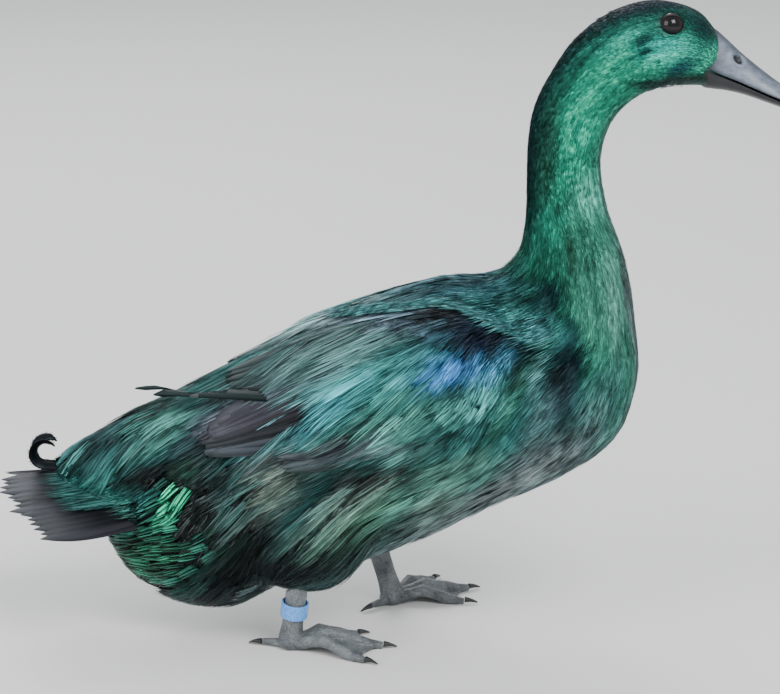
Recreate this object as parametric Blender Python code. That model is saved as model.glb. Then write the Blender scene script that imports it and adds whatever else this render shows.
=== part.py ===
"""A Cayuga drake, standing, life size and still, in separate pieces.

The bird faces +X and its left side is +Y. Its own middle plane is Y = 0 and its soles are at Z = 0.
All pieces hang on one empty, which sets the origin under the middle of the whole bird's box.
Sizes are in metres and angles in degrees.
"""

import math
from collections import namedtuple

import bmesh
import bpy
import numpy as np
from mathutils import Matrix, Vector

# Driving sizes
GAP = 0.0003
CUTTER_GROWTH = GAP * 1.4
BIRD_OFFSET = (-0.0073, -0.0155, 0.0)
VANE_THICKNESS = 0.0006
VANE_STEP = 0.00105
LEAST_VANE_SPACING = VANE_STEP * 2.6

# The body's rings, from the bill back over the head and neck to the tail. Each ring stands on the
# line from a point of the back to a point of the belly, both on the middle plane. The widest place
# of a ring lies below the middle of that line by the share called low.
Ring = namedtuple("Ring", "name back belly half_width low")
RINGS = (
    Ring("face", (0.2060, 0.3740), (0.2055, 0.3430), 0.0120, 0.10),
    Ring("bill base", (0.1975, 0.3822), (0.1995, 0.3445), 0.0135, 0.10),
    Ring("lores", (0.1885, 0.3925), (0.1950, 0.3460), 0.0160, 0.12),
    Ring("brow", (0.1640, 0.4005), (0.1895, 0.3475), 0.0192, 0.15),
    Ring("crown", (0.1360, 0.3950), (0.1790, 0.3475), 0.0212, 0.10),
    Ring("nape", (0.1120, 0.3770), (0.1665, 0.3470), 0.0214, 0.05),
    Ring("head end", (0.0965, 0.3540), (0.1520, 0.3425), 0.0207, 0.0),
    Ring("neck top", (0.0870, 0.3340), (0.1370, 0.3290), 0.0200, 0.0),
    Ring("neck upper", (0.0835, 0.3110), (0.1290, 0.3050), 0.0200, 0.0),
    Ring("neck middle", (0.0830, 0.2925), (0.1325, 0.2750), 0.0222, 0.0),
    Ring("neck low", (0.0827, 0.2800), (0.1455, 0.2390), 0.0290, 0.05),
    Ring("neck base", (0.0820, 0.2655), (0.1520, 0.2010), 0.0390, 0.08),
    Ring("breast top", (0.0800, 0.2505), (0.1540, 0.1630), 0.0490, 0.08),
    Ring("breast", (0.0750, 0.2380), (0.1415, 0.1305), 0.0565, 0.06),
    Ring("breast low", (0.0615, 0.2300), (0.1145, 0.1095), 0.0612, 0.04),
    Ring("shoulder", (0.0310, 0.2270), (0.0625, 0.0848), 0.0645, 0.02),
    Ring("back", (-0.0185, 0.2110), (-0.0030, 0.0540), 0.0665, 0.0),
    Ring("loin", (-0.0680, 0.1910), (-0.0630, 0.0360), 0.0640, -0.02),
    Ring("rump", (-0.1180, 0.1635), (-0.1125, 0.0205), 0.0540, -0.04),
    Ring("rump rear", (-0.1400, 0.1530), (-0.1390, 0.0250), 0.0455, -0.06),
    Ring("tail root", (-0.1620, 0.1440), (-0.1600, 0.0360), 0.0350, -0.06),
    Ring("tail", (-0.1830, 0.1315), (-0.1730, 0.0540), 0.0255, -0.04),
    Ring("tail end", (-0.1985, 0.1210), (-0.1840, 0.0800), 0.0195, 0.0),
    Ring("covert tips", (-0.2085, 0.1095), (-0.1965, 0.0985), 0.0120, 0.0),
)
RING_INDEX = {ring.name: i for i, ring in enumerate(RINGS)}
RING_VALUES = np.array([[*r.back, *r.belly, r.half_width, r.low] for r in RINGS])
HEAD_END = RING_INDEX["head end"]
NECK_BASE = RING_INDEX["neck base"]
SHOULDER = RING_INDEX["shoulder"]
RUMP_REAR = RING_INDEX["rump rear"]
COVERT_TIPS = RING_INDEX["covert tips"]


def between(low, high, share):
    return low + (high - low) * share


def ease(share):
    share = min(max(share, 0.0), 1.0)
    return share * share * (3 - 2 * share)


def ring_places():
    """Distance along the body at each ring, halfway between back and belly."""
    steps = np.diff(RING_VALUES[:, :4], axis=0)
    lengths = 0.5 * (np.hypot(steps[:, 0], steps[:, 1]) + np.hypot(steps[:, 2], steps[:, 3]))
    return np.concatenate([[0.0], np.cumsum(lengths)])


RING_PLACES = ring_places()


def ring_slope(i):
    """How fast the ring values change at ring i, for a smooth curve through them."""
    last = len(RINGS) - 1
    if i == 0 or i == last:
        a, b = (0, 1) if i == 0 else (last - 1, last)
        return (RING_VALUES[b] - RING_VALUES[a]) / (RING_PLACES[b] - RING_PLACES[a])
    before = RING_PLACES[i] - RING_PLACES[i - 1]
    after = RING_PLACES[i + 1] - RING_PLACES[i]
    behind = (RING_VALUES[i] - RING_VALUES[i - 1]) / before
    ahead = (RING_VALUES[i + 1] - RING_VALUES[i]) / after
    return (ahead * before + behind * after) / (before + after)


RING_SLOPES = [ring_slope(i) for i in range(len(RINGS))]


def ring_at(place):
    """The ring values at a place between two rings, such as 3.4."""
    i = int(min(max(math.floor(place), 0), len(RINGS) - 2))
    span = RING_PLACES[i + 1] - RING_PLACES[i]
    t = place - i
    return (
        (2 * t**3 - 3 * t**2 + 1) * RING_VALUES[i]
        + (t**3 - 2 * t**2 + t) * span * RING_SLOPES[i]
        + (-2 * t**3 + 3 * t**2) * RING_VALUES[i + 1]
        + (t**3 - t**2) * span * RING_SLOPES[i + 1]
    )


def skin_point(place, turn):
    """A point of the body's surface. Turn 0 is the back, 90 the right side and 180 the belly."""
    back_x, back_z, belly_x, belly_z, half_width, low = ring_at(place)
    angle = math.radians(turn)
    up = math.cos(angle) - low * math.sin(angle) ** 2
    middle = Vector(((back_x + belly_x) / 2, 0.0, (back_z + belly_z) / 2))
    rise = Vector(((back_x - belly_x) / 2, 0.0, (back_z - belly_z) / 2))
    return middle + rise * up + Vector((0.0, -half_width * math.sin(angle), 0.0))


def skin_normal(place, turn):
    step = 0.002
    along = skin_point(place + step, turn) - skin_point(place - step, turn)
    around = skin_point(place, turn + 1) - skin_point(place, turn - 1)
    return along.cross(around).normalized()


def above_skin(place, turn, lift):
    return skin_point(place, turn) + skin_normal(place, turn) * lift


# Working with meshes

SHARP_ANGLE = 40.0
STEEP = 0.9

PIECES = bpy.data.collections.new("cayuga_duck")
CUTTERS = bpy.data.collections.new("cutters")
BIRD = bpy.data.objects.new("bird", None)

FINISHES = {
    "green_plumage": ((0.010, 0.110, 0.060), 0.45),
    "dark_plumage": ((0.012, 0.022, 0.026), 0.55),
    "bill_slate": ((0.050, 0.062, 0.080), 0.40),
    "bill_dark": ((0.016, 0.017, 0.020), 0.45),
    "eye_dark": ((0.010, 0.006, 0.004), 0.08),
    "leg_skin": ((0.040, 0.042, 0.045), 0.55),
    "claw_black": ((0.008, 0.008, 0.008), 0.35),
    "band_blue": ((0.110, 0.330, 0.800), 0.45),
}


def set_up_scene():
    for obj in list(bpy.data.objects):
        if obj is not BIRD:
            bpy.data.objects.remove(obj, do_unlink=True)
    bpy.context.scene.collection.children.link(PIECES)
    bpy.context.scene.collection.children.link(CUTTERS)
    BIRD.location = BIRD_OFFSET
    PIECES.objects.link(BIRD)


def material(name):
    made = bpy.data.materials.get(name)
    if made is None:
        colour, roughness = FINISHES[name]
        made = bpy.data.materials.new(name)
        made.use_nodes = True
        shader = made.node_tree.nodes["Principled BSDF"]
        shader.inputs["Base Color"].default_value = (*colour, 1.0)
        shader.inputs["Roughness"].default_value = roughness
        shader.inputs["Metallic"].default_value = 0.0
    return made


def finish(obj, finish_name):
    """The last steps of every piece: its material, its shading and its parent."""
    obj.data.materials.clear()
    obj.data.materials.append(material(finish_name))
    obj.data.shade_smooth()
    obj.data.set_sharp_from_angle(angle=math.radians(SHARP_ANGLE))
    obj.parent = BIRD
    return obj


def object_from(bm, name, collection=PIECES):
    bmesh.ops.recalc_face_normals(bm, faces=bm.faces)
    mesh = bpy.data.meshes.new(name)
    bm.to_mesh(mesh)
    bm.free()
    obj = bpy.data.objects.new(name, mesh)
    collection.objects.link(obj)
    return obj


def tube_of_rings(name, rings, closed_loop=False):
    """A closed body through rings of points, or a closed loop of them, like a lifebelt."""
    bm = bmesh.new()
    rows = [[bm.verts.new(point) for point in ring] for ring in rings]
    count = len(rows[0])
    following = rows[1:] + rows[:1] if closed_loop else rows[1:]
    for row, after in zip(rows, following):
        for i in range(count):
            j = (i + 1) % count
            bm.faces.new((row[i], row[j], after[j], after[i]))
    if not closed_loop:
        bm.faces.new(rows[0])
        bm.faces.new(list(reversed(rows[-1])))
    return object_from(bm, name)


def ball(name, centre, radii, segments, rows, turn=None):
    bm = bmesh.new()
    bmesh.ops.create_uvsphere(bm, u_segments=segments, v_segments=rows, radius=1.0)
    place = Matrix.Translation(Vector(centre)) @ (turn or Matrix.Identity(4))
    bmesh.ops.transform(bm, matrix=place @ Matrix.Diagonal((*radii, 1.0)), verts=bm.verts)
    return object_from(bm, name)


def path_tube(name, points, radii, sides):
    """A closed tube through points. Each radius is one number, or the half width and half height."""
    rings = []
    for i, (point, radius) in enumerate(zip(points, radii)):
        along = (points[min(i + 1, len(points) - 1)] - points[max(i - 1, 0)]).normalized()
        beside = along.cross(Vector((0, 0, 1)) if abs(along.z) < STEEP else Vector((1, 0, 0))).normalized()
        up = beside.cross(along).normalized()
        wide, tall = radius if isinstance(radius, tuple) else (radius, radius)
        ring = []
        for k in range(sides):
            angle = 2 * math.pi * (k + 0.5) / sides
            ring.append(point + beside * wide * math.cos(angle) + up * tall * math.sin(angle))
        rings.append(ring)
    return tube_of_rings(name, rings)


def side_block(name, outline, half_width):
    """A block across the middle plane, with a side view given as x and z."""
    bm = bmesh.new()
    near = [bm.verts.new((x, -half_width, z)) for x, z in outline]
    far = [bm.verts.new((x, half_width, z)) for x, z in outline]
    count = len(outline)
    for i in range(count):
        j = (i + 1) % count
        bm.faces.new((near[i], near[j], far[j], far[i]))
    bm.faces.new(near)
    bm.faces.new(list(reversed(far)))
    return object_from(bm, name, CUTTERS)


def evaluated_mesh(obj):
    graph = bpy.context.evaluated_depsgraph_get()
    return bpy.data.meshes.new_from_object(obj.evaluated_get(graph))


def box_size(faces):
    corners = np.array([vert.co for face in faces for vert in face.verts])
    return float(np.prod(corners.max(axis=0) - corners.min(axis=0)))


def keep_largest_surface(mesh):
    """Drops loose scraps and sealed hollows that a cut or a union leaves."""
    bm = bmesh.new()
    bm.from_mesh(mesh)
    left = set(bm.faces)
    surfaces = []
    while left:
        found = {left.pop()}
        queue = list(found)
        while queue:
            for edge in queue.pop().edges:
                for other in edge.link_faces:
                    if other in left:
                        left.discard(other)
                        found.add(other)
                        queue.append(other)
        surfaces.append(found)
    largest = max(surfaces, key=box_size)
    dropped = [face for faces in surfaces if faces is not largest for face in faces]
    bmesh.ops.delete(bm, geom=dropped, context="FACES")
    bmesh.ops.triangulate(bm, faces=bm.faces)
    bm.to_mesh(mesh)
    bm.free()


def combine(obj, others, operation="UNION"):
    """One Boolean of an object with a collection of others, applied. The others are removed."""
    group = bpy.data.collections.new(obj.name + "_others")
    bpy.context.scene.collection.children.link(group)
    for other in others:
        for owner in list(other.users_collection):
            owner.objects.unlink(other)
        group.objects.link(other)
    boolean = obj.modifiers.new("combine", "BOOLEAN")
    boolean.operation = operation
    boolean.operand_type = "COLLECTION"
    boolean.collection = group
    boolean.solver = "MANIFOLD"
    mesh = evaluated_mesh(obj)
    obj.modifiers.clear()
    keep_largest_surface(mesh)
    obj.data = mesh
    for other in others:
        bpy.data.objects.remove(other, do_unlink=True)
    bpy.data.collections.remove(group)
    return obj


def cut(obj, cutters):
    return combine(obj, cutters, "DIFFERENCE")


def grown_copy(obj, amount):
    """A cutter that stands out from the object by the amount, on every side."""
    cutter = obj.copy()
    cutter.data = obj.data.copy()
    cutter.name = obj.name + "_grown"
    cutter.parent = None
    CUTTERS.objects.link(cutter)
    displace = cutter.modifiers.new("grow", "DISPLACE")
    displace.mid_level = 0.0
    displace.strength = amount
    mesh = evaluated_mesh(cutter)
    cutter.modifiers.clear()
    cutter.data = mesh
    return cutter


def cut_clear_of(obj, neighbours):
    return cut(obj, [grown_copy(neighbour, CUTTER_GROWTH) for neighbour in neighbours])


# Head, neck, torso and the root of the tail: one smooth surface in four lengths

HEAD_SIDES = 22
HEAD_ROWS = 15
NECK_SIDES = 22
NECK_ROWS = 11
TORSO_SIDES = 32
TORSO_ROWS = 22
TAIL_SIDES = 20
TAIL_ROWS = 10


def body_length(name, first, last, rows, sides):
    rings = []
    for row in range(rows + 1):
        place = between(first, last, row / rows)
        rings.append([skin_point(place, 360 * side / sides) for side in range(sides)])
    return tube_of_rings(name, rings)


def just_after(place):
    """The place that lies one gap behind this one, measured on the back."""
    step = 0.05
    return place + step * GAP / (skin_point(place + step, 0) - skin_point(place, 0)).length


# The edge of the face's feathers, in side view, from the forehead past the corner of the mouth to
# the chin. The head ends at it, and the bill begins a gap in front of it.
FACE_EDGE = (
    (0.1950, 0.4000),
    (0.1978, 0.3820),
    (0.1986, 0.3740),
    (0.1974, 0.3665),
    (0.1944, 0.3620),
    (0.1894, 0.3590),
    (0.1926, 0.3545),
    (0.1962, 0.3500),
    (0.1985, 0.3460),
    (0.1990, 0.3360),
)
FACE_BLOCK_HALF_WIDTH = 0.03
FACE_BLOCK_FRONT = 0.23
FACE_BLOCK_REAR = 0.16


def face_block(shift, end):
    """The room in front of the face's edge or behind it, out to the given end."""
    outline = [(x + shift, z) for x, z in FACE_EDGE]
    outline += [(end, FACE_EDGE[-1][1]), (end, FACE_EDGE[0][1])]
    return side_block("face_block", outline, FACE_BLOCK_HALF_WIDTH)


# Eyes and lids

EYE_RADIUS = 0.0076
EYE_ON_SKIN = Vector((0.1697, 0.0158, 0.3880))
EYE_UP_TILT = 17.0
EYE_FORWARD_TILT = 6.0
EYE_SUNK = 0.0052
EYE_SEGMENTS, EYE_ROWS = 16, 10
LID_OPENING = (0.0066, 0.0050)
LID_SPREAD = 1.04
LID_THICKNESS = 0.0009
LID_RISE = 0.00126
LID_PARTS = 20
LID_CORNERS = 6


def eye_outward(side):
    up = math.radians(EYE_UP_TILT)
    forward = math.radians(EYE_FORWARD_TILT)
    return Vector((math.sin(forward), side * math.cos(up) * math.cos(forward), math.sin(up))).normalized()


def eye_centre(side):
    on_skin = Vector((EYE_ON_SKIN.x, side * EYE_ON_SKIN.y, EYE_ON_SKIN.z))
    return on_skin - eye_outward(side) * EYE_SUNK


def make_eye(name, side):
    turn = Matrix.Rotation(math.pi / 2, 4, "X")
    return ball(name, eye_centre(side), (EYE_RADIUS,) * 3, EYE_SEGMENTS, EYE_ROWS, turn)


def lid_rim(side):
    """The rim of both lids: an oval ring that lies on the eyeball."""
    outward = eye_outward(side)
    forward = outward.cross(Vector((0, 0, 1))).normalized() * -side
    upward = outward.cross(forward).normalized() * side
    long_half, short_half = LID_OPENING
    rings = []
    for i in range(LID_PARTS):
        angle = 2 * math.pi * i / LID_PARTS
        offset = forward * long_half * math.cos(angle) + upward * short_half * math.sin(angle)
        way = forward * -long_half * math.sin(angle) + upward * short_half * math.cos(angle)
        on_ball = math.sqrt(EYE_RADIUS**2 - offset.length_squared)
        middle = eye_centre(side) + offset * LID_SPREAD + outward * on_ball
        beside = way.normalized().cross(outward)
        ring = []
        for k in range(LID_CORNERS):
            round_angle = 2 * math.pi * k / LID_CORNERS
            ring.append(
                middle
                + beside * LID_THICKNESS * math.cos(round_angle)
                + outward * LID_RISE * math.sin(round_angle)
            )
        rings.append(ring)
    return tube_of_rings("lids", rings, closed_loop=True)


def make_head():
    head = body_length("head", 0.0, HEAD_END, HEAD_ROWS, HEAD_SIDES)
    cut(head, [face_block(0.0, FACE_BLOCK_FRONT)])
    combine(head, [lid_rim(-1), lid_rim(1)])
    eyes = [make_eye("eye_right", -1), make_eye("eye_left", 1)]
    cut_clear_of(head, eyes)
    for eye in eyes:
        finish(eye, "eye_dark")
    return finish(head, "green_plumage")


# Bill. The height called edge is that of the cutting edge between its two halves.

BillRing = namedtuple("BillRing", "x top edge half_width depth")
BILL_RINGS = (
    BillRing(0.1840, 0.3850, 0.3645, 0.0110, 0.0060),
    BillRing(0.1900, 0.3845, 0.3612, 0.0114, 0.0078),
    BillRing(0.1960, 0.3829, 0.3583, 0.0116, 0.0078),
    BillRing(0.2030, 0.3773, 0.3553, 0.0112, 0.0068),
    BillRing(0.2120, 0.3689, 0.3517, 0.0112, 0.0060),
    BillRing(0.2210, 0.3614, 0.3478, 0.0117, 0.0054),
    BillRing(0.2300, 0.3544, 0.3440, 0.0127, 0.0048),
    BillRing(0.2390, 0.3479, 0.3403, 0.0135, 0.0042),
    BillRing(0.2470, 0.3422, 0.3368, 0.0129, 0.0036),
    BillRing(0.2535, 0.3374, 0.3336, 0.0105, 0.0030),
    BillRing(0.2575, 0.3340, 0.3316, 0.0068, 0.0022),
    BillRing(0.2590, 0.3322, 0.3308, 0.0030, 0.0014),
)
BILL_SIDES = 18
BILL_ARCH = 1.25
BILL_EDGE_LIP = 0.0012
BILL_PARTING = GAP * 1.5
FACE_GAP = GAP * 1.6
LOWER_BILL_SHARE = 0.90
LOWER_BILL_SHORT = 0.0008
NOSTRIL_PLACE = Vector((0.2105, 0.0080, 0.3650))
NOSTRIL_RADII = (0.0037, 0.0028, 0.0017)
NOSTRIL_SLOPE = 40.0
NOSTRIL_SEGMENTS, NOSTRIL_ROWS = 10, 6


def upper_bill_ring(ring):
    """An arch over a nearly flat underside."""
    points = []
    for i in range(BILL_SIDES):
        angle = 2 * math.pi * i / BILL_SIDES
        up = math.cos(angle)
        height = up**BILL_ARCH * (ring.top - ring.edge) if up >= 0 else up * BILL_EDGE_LIP
        points.append(Vector((ring.x, ring.half_width * math.sin(angle), ring.edge + height)))
    return points


def lower_bill_ring(ring):
    """A shallow tray under the upper half, a little narrower."""
    points = []
    top = ring.edge - BILL_EDGE_LIP - BILL_PARTING
    for i in range(BILL_SIDES):
        angle = 2 * math.pi * i / BILL_SIDES
        up = math.cos(angle)
        height = up * ring.depth if up < 0 else 0.0
        across = ring.half_width * LOWER_BILL_SHARE * math.sin(angle)
        points.append(Vector((ring.x - LOWER_BILL_SHORT, across, top + height)))
    return points


def nostril(side):
    place = (NOSTRIL_PLACE.x, side * NOSTRIL_PLACE.y, NOSTRIL_PLACE.z)
    turn = Matrix.Rotation(math.radians(NOSTRIL_SLOPE), 4, "Y")
    return ball("nostril", place, NOSTRIL_RADII, NOSTRIL_SEGMENTS, NOSTRIL_ROWS, turn)


def make_bill():
    upper = tube_of_rings("bill_upper", [upper_bill_ring(ring) for ring in BILL_RINGS])
    cut(upper, [nostril(-1), nostril(1), face_block(FACE_GAP, FACE_BLOCK_REAR)])
    lower = tube_of_rings("bill_lower", [lower_bill_ring(ring) for ring in BILL_RINGS])
    cut(lower, [face_block(FACE_GAP, FACE_BLOCK_REAR)])
    finish(upper, "bill_slate")
    finish(lower, "bill_dark")


# Vanes: flat feathers whose two faces are split into triangles alike


def vane(frames, widths, thickness=VANE_THICKNESS):
    """A feather as a closed strip. Each frame is a middle point, the way aside and the way up."""
    bm = bmesh.new()
    rows = []
    for (middle, aside, up), half in zip(frames, widths):
        corners = ((-half, 1), (half, 1), (half, -1), (-half, -1))
        rows.append([bm.verts.new(middle + aside * a + up * b * thickness / 2) for a, b in corners])
    for row, after in zip(rows[:-1], rows[1:]):
        bm.faces.new((row[0], row[1], after[1]))
        bm.faces.new((row[0], after[1], after[0]))
        bm.faces.new((row[3], after[2], row[2]))
        bm.faces.new((row[3], after[3], after[2]))
        bm.faces.new((row[1], row[2], after[2], after[1]))
        bm.faces.new((row[3], row[0], after[0], after[3]))
    bm.faces.new(reversed(rows[0]))
    bm.faces.new(rows[-1])
    return object_from(bm, "vane")


def vane_widths(half_width, steps, root, tip, fullest):
    """Half widths from root to tip: widening, then rounding off to a blunt point."""
    widths = []
    for i in range(steps + 1):
        t = i / steps
        if t < fullest:
            share = between(root, 1.0, math.sin(math.pi / 2 * t / fullest))
        else:
            share = between(tip, 1.0, math.cos(math.pi / 2 * (t - fullest) / (1 - fullest)))
        widths.append(half_width * share)
    return widths


def frames_along(points, ups):
    """Frames on a path, with the way up kept square to the path."""
    frames = []
    last = len(points) - 1
    for i, (point, up) in enumerate(zip(points, ups)):
        along = (points[min(i + 1, last)] - points[max(i - 1, 0)]).normalized()
        aside = along.cross(up).normalized()
        frames.append((point, aside, aside.cross(along).normalized()))
    return frames


def shingled(paths, ups, side):
    """Frames for a row of vanes that lie like roof tiles, the first one on top.

    Each vane is rolled about its own path just so far that its hidden edge passes under its
    neighbour with room to spare.
    """
    rows = []
    for i, (points, up_ways) in enumerate(zip(paths, ups)):
        beside = paths[i + 1] if i + 1 < len(paths) else paths[i - 1]
        frames = []
        for (point, aside, up), other in zip(frames_along(points, up_ways), beside):
            spacing = max(abs((other - point).dot(aside)), LEAST_VANE_SPACING)
            roll = side * math.asin(VANE_STEP / spacing)
            c, s = math.cos(roll), math.sin(roll)
            frames.append((point, aside * c + up * s, up * c - aside * s))
        rows.append(frames)
    return rows


# Wings, folded on the body. The edges are given at places along the body, as turns round it.

WingEdge = namedtuple("WingEdge", "place upper lower thickness")
WING_EDGES = (
    WingEdge(SHOULDER - 1.05, 50, 67, 0.0032),
    WingEdge(SHOULDER - 0.80, 39, 75, 0.0062),
    WingEdge(SHOULDER - 0.45, 25, 85, 0.0082),
    WingEdge(SHOULDER, 16, 92, 0.0088),
    WingEdge(SHOULDER + 0.50, 12, 95, 0.0082),
    WingEdge(SHOULDER + 1.00, 11, 91, 0.0070),
    WingEdge(SHOULDER + 1.50, 11, 83, 0.0052),
    WingEdge(SHOULDER + 2.00, 13, 73, 0.0038),
    WingEdge(SHOULDER + 2.30, 17, 64, 0.0026),
)
WING_UNDERSIDE = 0.0008
WING_RIM = 0.0007
WING_CROWN_ENDS = (0.06, 0.94)
WING_CROWN_FLATNESS = 0.6
WING_ROWS = 14
WING_COLUMNS = 8
ROOT_DEPTH = 0.0012

# Each row of wing feathers runs from its uppermost feather to its lowest, between the first and
# the last of its root spots and tip spots. Lifts are heights above the skin.
Tier = namedtuple("Tier", "name count roots tips lift tip_lifts half_width longer bow")
Spot = namedtuple("Spot", "place turn")
PRIMARIES = Tier(
    "primaries",
    3,
    (Spot(17.20, 40), Spot(16.90, 50)),
    (Spot(19.35, 13), Spot(18.75, 27)),
    0.0019,
    (0.0165, 0.0080),
    0.0058,
    0.0,
    -2,
)
SECONDARIES = Tier(
    "secondaries",
    6,
    (Spot(16.50, 44), Spot(16.20, 80)),
    (Spot(17.90, 33), Spot(18.25, 64)),
    0.0032,
    (0.0036, 0.0030),
    0.0082,
    0.10,
    0,
)
GREATER_COVERTS = Tier(
    "greater coverts",
    6,
    (Spot(15.60, 50), Spot(15.20, 86)),
    (Spot(16.75, 50), Spot(16.90, 80)),
    0.0048,
    (0.0048, 0.0034),
    0.0086,
    0.45,
    2,
)
MEDIAN_COVERTS = Tier(
    "median coverts",
    5,
    (Spot(14.80, 58), Spot(14.75, 84)),
    (Spot(15.80, 56), Spot(15.85, 88)),
    0.0066,
    (0.0066, 0.0050),
    0.0084,
    0.15,
    2,
)
TERTIALS = Tier(
    "tertials",
    4,
    (Spot(16.00, 20), Spot(16.00, 40)),
    (Spot(17.70, 13), Spot(17.95, 31)),
    0.0052,
    (0.0052, 0.0052),
    0.0090,
    0.0,
    3,
)
SCAPULARS = Tier(
    "scapulars",
    5,
    (Spot(14.80, 22), Spot(14.80, 50)),
    (Spot(16.75, 12), Spot(16.55, 40)),
    0.0072,
    (0.0072, 0.0070),
    0.0092,
    0.15,
    4,
)
WING_TIERS = (PRIMARIES, SECONDARIES, GREATER_COVERTS, MEDIAN_COVERTS, TERTIALS, SCAPULARS)
VANE_PARTS = 4
RISE_SHARE = 1 / 3


def wing_edge_at(place):
    for first, second in zip(WING_EDGES[:-1], WING_EDGES[1:]):
        if place <= second.place:
            break
    share = (place - first.place) / (second.place - first.place)
    return [between(a, b, share) for a, b in zip(first[1:], second[1:])]


def wing_lift(place, turn):
    """How far the folded arm's top stands above the skin."""
    upper, lower, thickness = wing_edge_at(place)
    across = min(max((turn - upper) / (lower - upper), 0.0), 1.0)
    crown = math.sin(math.pi * between(*WING_CROWN_ENDS, across)) ** WING_CROWN_FLATNESS
    return WING_UNDERSIDE + WING_RIM + (thickness - WING_UNDERSIDE - WING_RIM) * crown


def wing_arm(name):
    """The folded arm with the small coverts over it, as one curved slab on the body."""
    tops, unders = [], []
    bm = bmesh.new()
    for row in range(WING_ROWS + 1):
        place = between(WING_EDGES[0].place, WING_EDGES[-1].place, row / WING_ROWS)
        upper, lower, _ = wing_edge_at(place)
        turns = [between(upper, lower, column / WING_COLUMNS) for column in range(WING_COLUMNS + 1)]
        tops.append([bm.verts.new(above_skin(place, turn, wing_lift(place, turn))) for turn in turns])
        unders.append([bm.verts.new(above_skin(place, turn, WING_UNDERSIDE)) for turn in turns])
    for i in range(WING_ROWS):
        for j in range(WING_COLUMNS):
            bm.faces.new((tops[i][j], tops[i + 1][j], tops[i + 1][j + 1], tops[i][j + 1]))
            bm.faces.new((unders[i][j], unders[i][j + 1], unders[i + 1][j + 1], unders[i + 1][j]))
    rim = [(0, j) for j in range(WING_COLUMNS)]
    rim += [(i, WING_COLUMNS) for i in range(WING_ROWS)]
    rim += [(WING_ROWS, j) for j in range(WING_COLUMNS, 0, -1)]
    rim += [(i, 0) for i in range(WING_ROWS, 0, -1)]
    for (i, j), (k, m) in zip(rim, rim[1:] + rim[:1]):
        bm.faces.new((tops[i][j], tops[k][m], unders[k][m], unders[i][j]))
    return object_from(bm, name)


def tier_path(tier, index):
    """The middle line of one wing feather, with the way up at each point."""
    share = index / (tier.count - 1)
    root = Spot(*[between(a, b, share) for a, b in zip(*tier.roots)])
    tip = Spot(*[between(a, b, share) for a, b in zip(*tier.tips)])
    tip_place = tip.place + tier.longer * math.sin(math.pi * share)
    tip_lift = between(*tier.tip_lifts, share)
    root_lift = min(tier.lift, wing_lift(*root) - ROOT_DEPTH)
    points, ups = [], []
    for k in range(VANE_PARTS + 1):
        t = k / VANE_PARTS
        place = between(root.place, tip_place, t)
        turn = between(root.turn, tip.turn, t) + tier.bow * math.sin(math.pi * t)
        lift = between(between(root_lift, tier.lift, ease(t / RISE_SHARE)), tip_lift, t * t)
        points.append(above_skin(place, turn, lift))
        ups.append(skin_normal(place, turn))
    return points, ups


def tier_vanes(tier):
    paths, ups = zip(*[tier_path(tier, i) for i in range(tier.count)])
    widths = vane_widths(tier.half_width, VANE_PARTS, root=0.5, tip=0.2, fullest=0.5)
    return [vane(frames, widths) for frames in shingled(paths, ups, -1)]


def mirrored(obj):
    """Turns a piece of the right side into its left twin."""
    bm = bmesh.new()
    bm.from_mesh(obj.data)
    bmesh.ops.transform(bm, matrix=Matrix.Diagonal((1, -1, 1, 1)), verts=bm.verts)
    bmesh.ops.reverse_faces(bm, faces=bm.faces)
    bm.to_mesh(obj.data)
    bm.free()
    return obj


def make_wings():
    wing = wing_arm("wing_right")
    combine(wing, [feather for tier in WING_TIERS for feather in tier_vanes(tier)])
    twin = bpy.data.objects.new("wing_left", wing.data.copy())
    PIECES.objects.link(twin)
    finish(wing, "dark_plumage")
    finish(mirrored(twin), "dark_plumage")


# Tail: a root of small feathers, a roof-shaped fan and the drake's two curled feathers

TAIL_FEATHERS = 8
FAN_ROOT_MIDDLE = Vector((-0.1690, 0.0060, 0.1080))
FAN_ROOT_SIDE = Vector((-0.1480, 0.0270, 0.0840))
FAN_TIP_MIDDLE = Vector((-0.2443, 0.0045, 0.0985))
FAN_TIP_SIDE = Vector((-0.2110, 0.0640, 0.0775))
FAN_RISE = 0.0030
FAN_TAPER = 1.7
TAIL_FEATHER_HALF_WIDTH = 0.0088
CURL_RADIUS = 0.0080
CURL_CENTRE = Vector((-0.2150, 0.0040, 0.1168))
CURL_ROOT = Vector((-0.1900, 0.0040, 0.1060))
CURL_FIRST, CURL_LAST = -78.0, -322.0
CURL_PARTS = 8
CURL_LEAN = 0.0022
CURL_HALF_WIDTH = 0.0033
CURL_THICKNESS = VANE_THICKNESS * 1.3


def fan_path(index, side):
    """The middle line of one tail feather: the outer ones are shorter and lie lower."""
    out = index / (TAIL_FEATHERS - 1)
    root = FAN_ROOT_MIDDLE.lerp(FAN_ROOT_SIDE, out)
    tip = FAN_TIP_MIDDLE.lerp(FAN_TIP_SIDE, out)
    tip.x = between(FAN_TIP_MIDDLE.x, FAN_TIP_SIDE.x, out**FAN_TAPER)
    roof = (FAN_TIP_SIDE - FAN_TIP_MIDDLE).cross(Vector((1, 0, 0))).normalized()
    roof = roof if roof.z > 0 else -roof
    points, ups = [], []
    for k in range(VANE_PARTS + 1):
        t = k / VANE_PARTS
        point = root.lerp(tip, t) + Vector((0, 0, -FAN_RISE * math.sin(math.pi * t)))
        points.append(Vector((point.x, side * point.y, point.z)))
        ups.append(Vector((roof.x, side * roof.y, roof.z)))
    return points, ups


def tail_fan(side):
    paths, ups = zip(*[fan_path(i, side) for i in range(TAIL_FEATHERS)])
    widths = vane_widths(TAIL_FEATHER_HALF_WIDTH, VANE_PARTS, root=0.6, tip=0.3, fullest=0.6)
    return [vane(frames, widths) for frames in shingled(paths, ups, side)]


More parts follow.
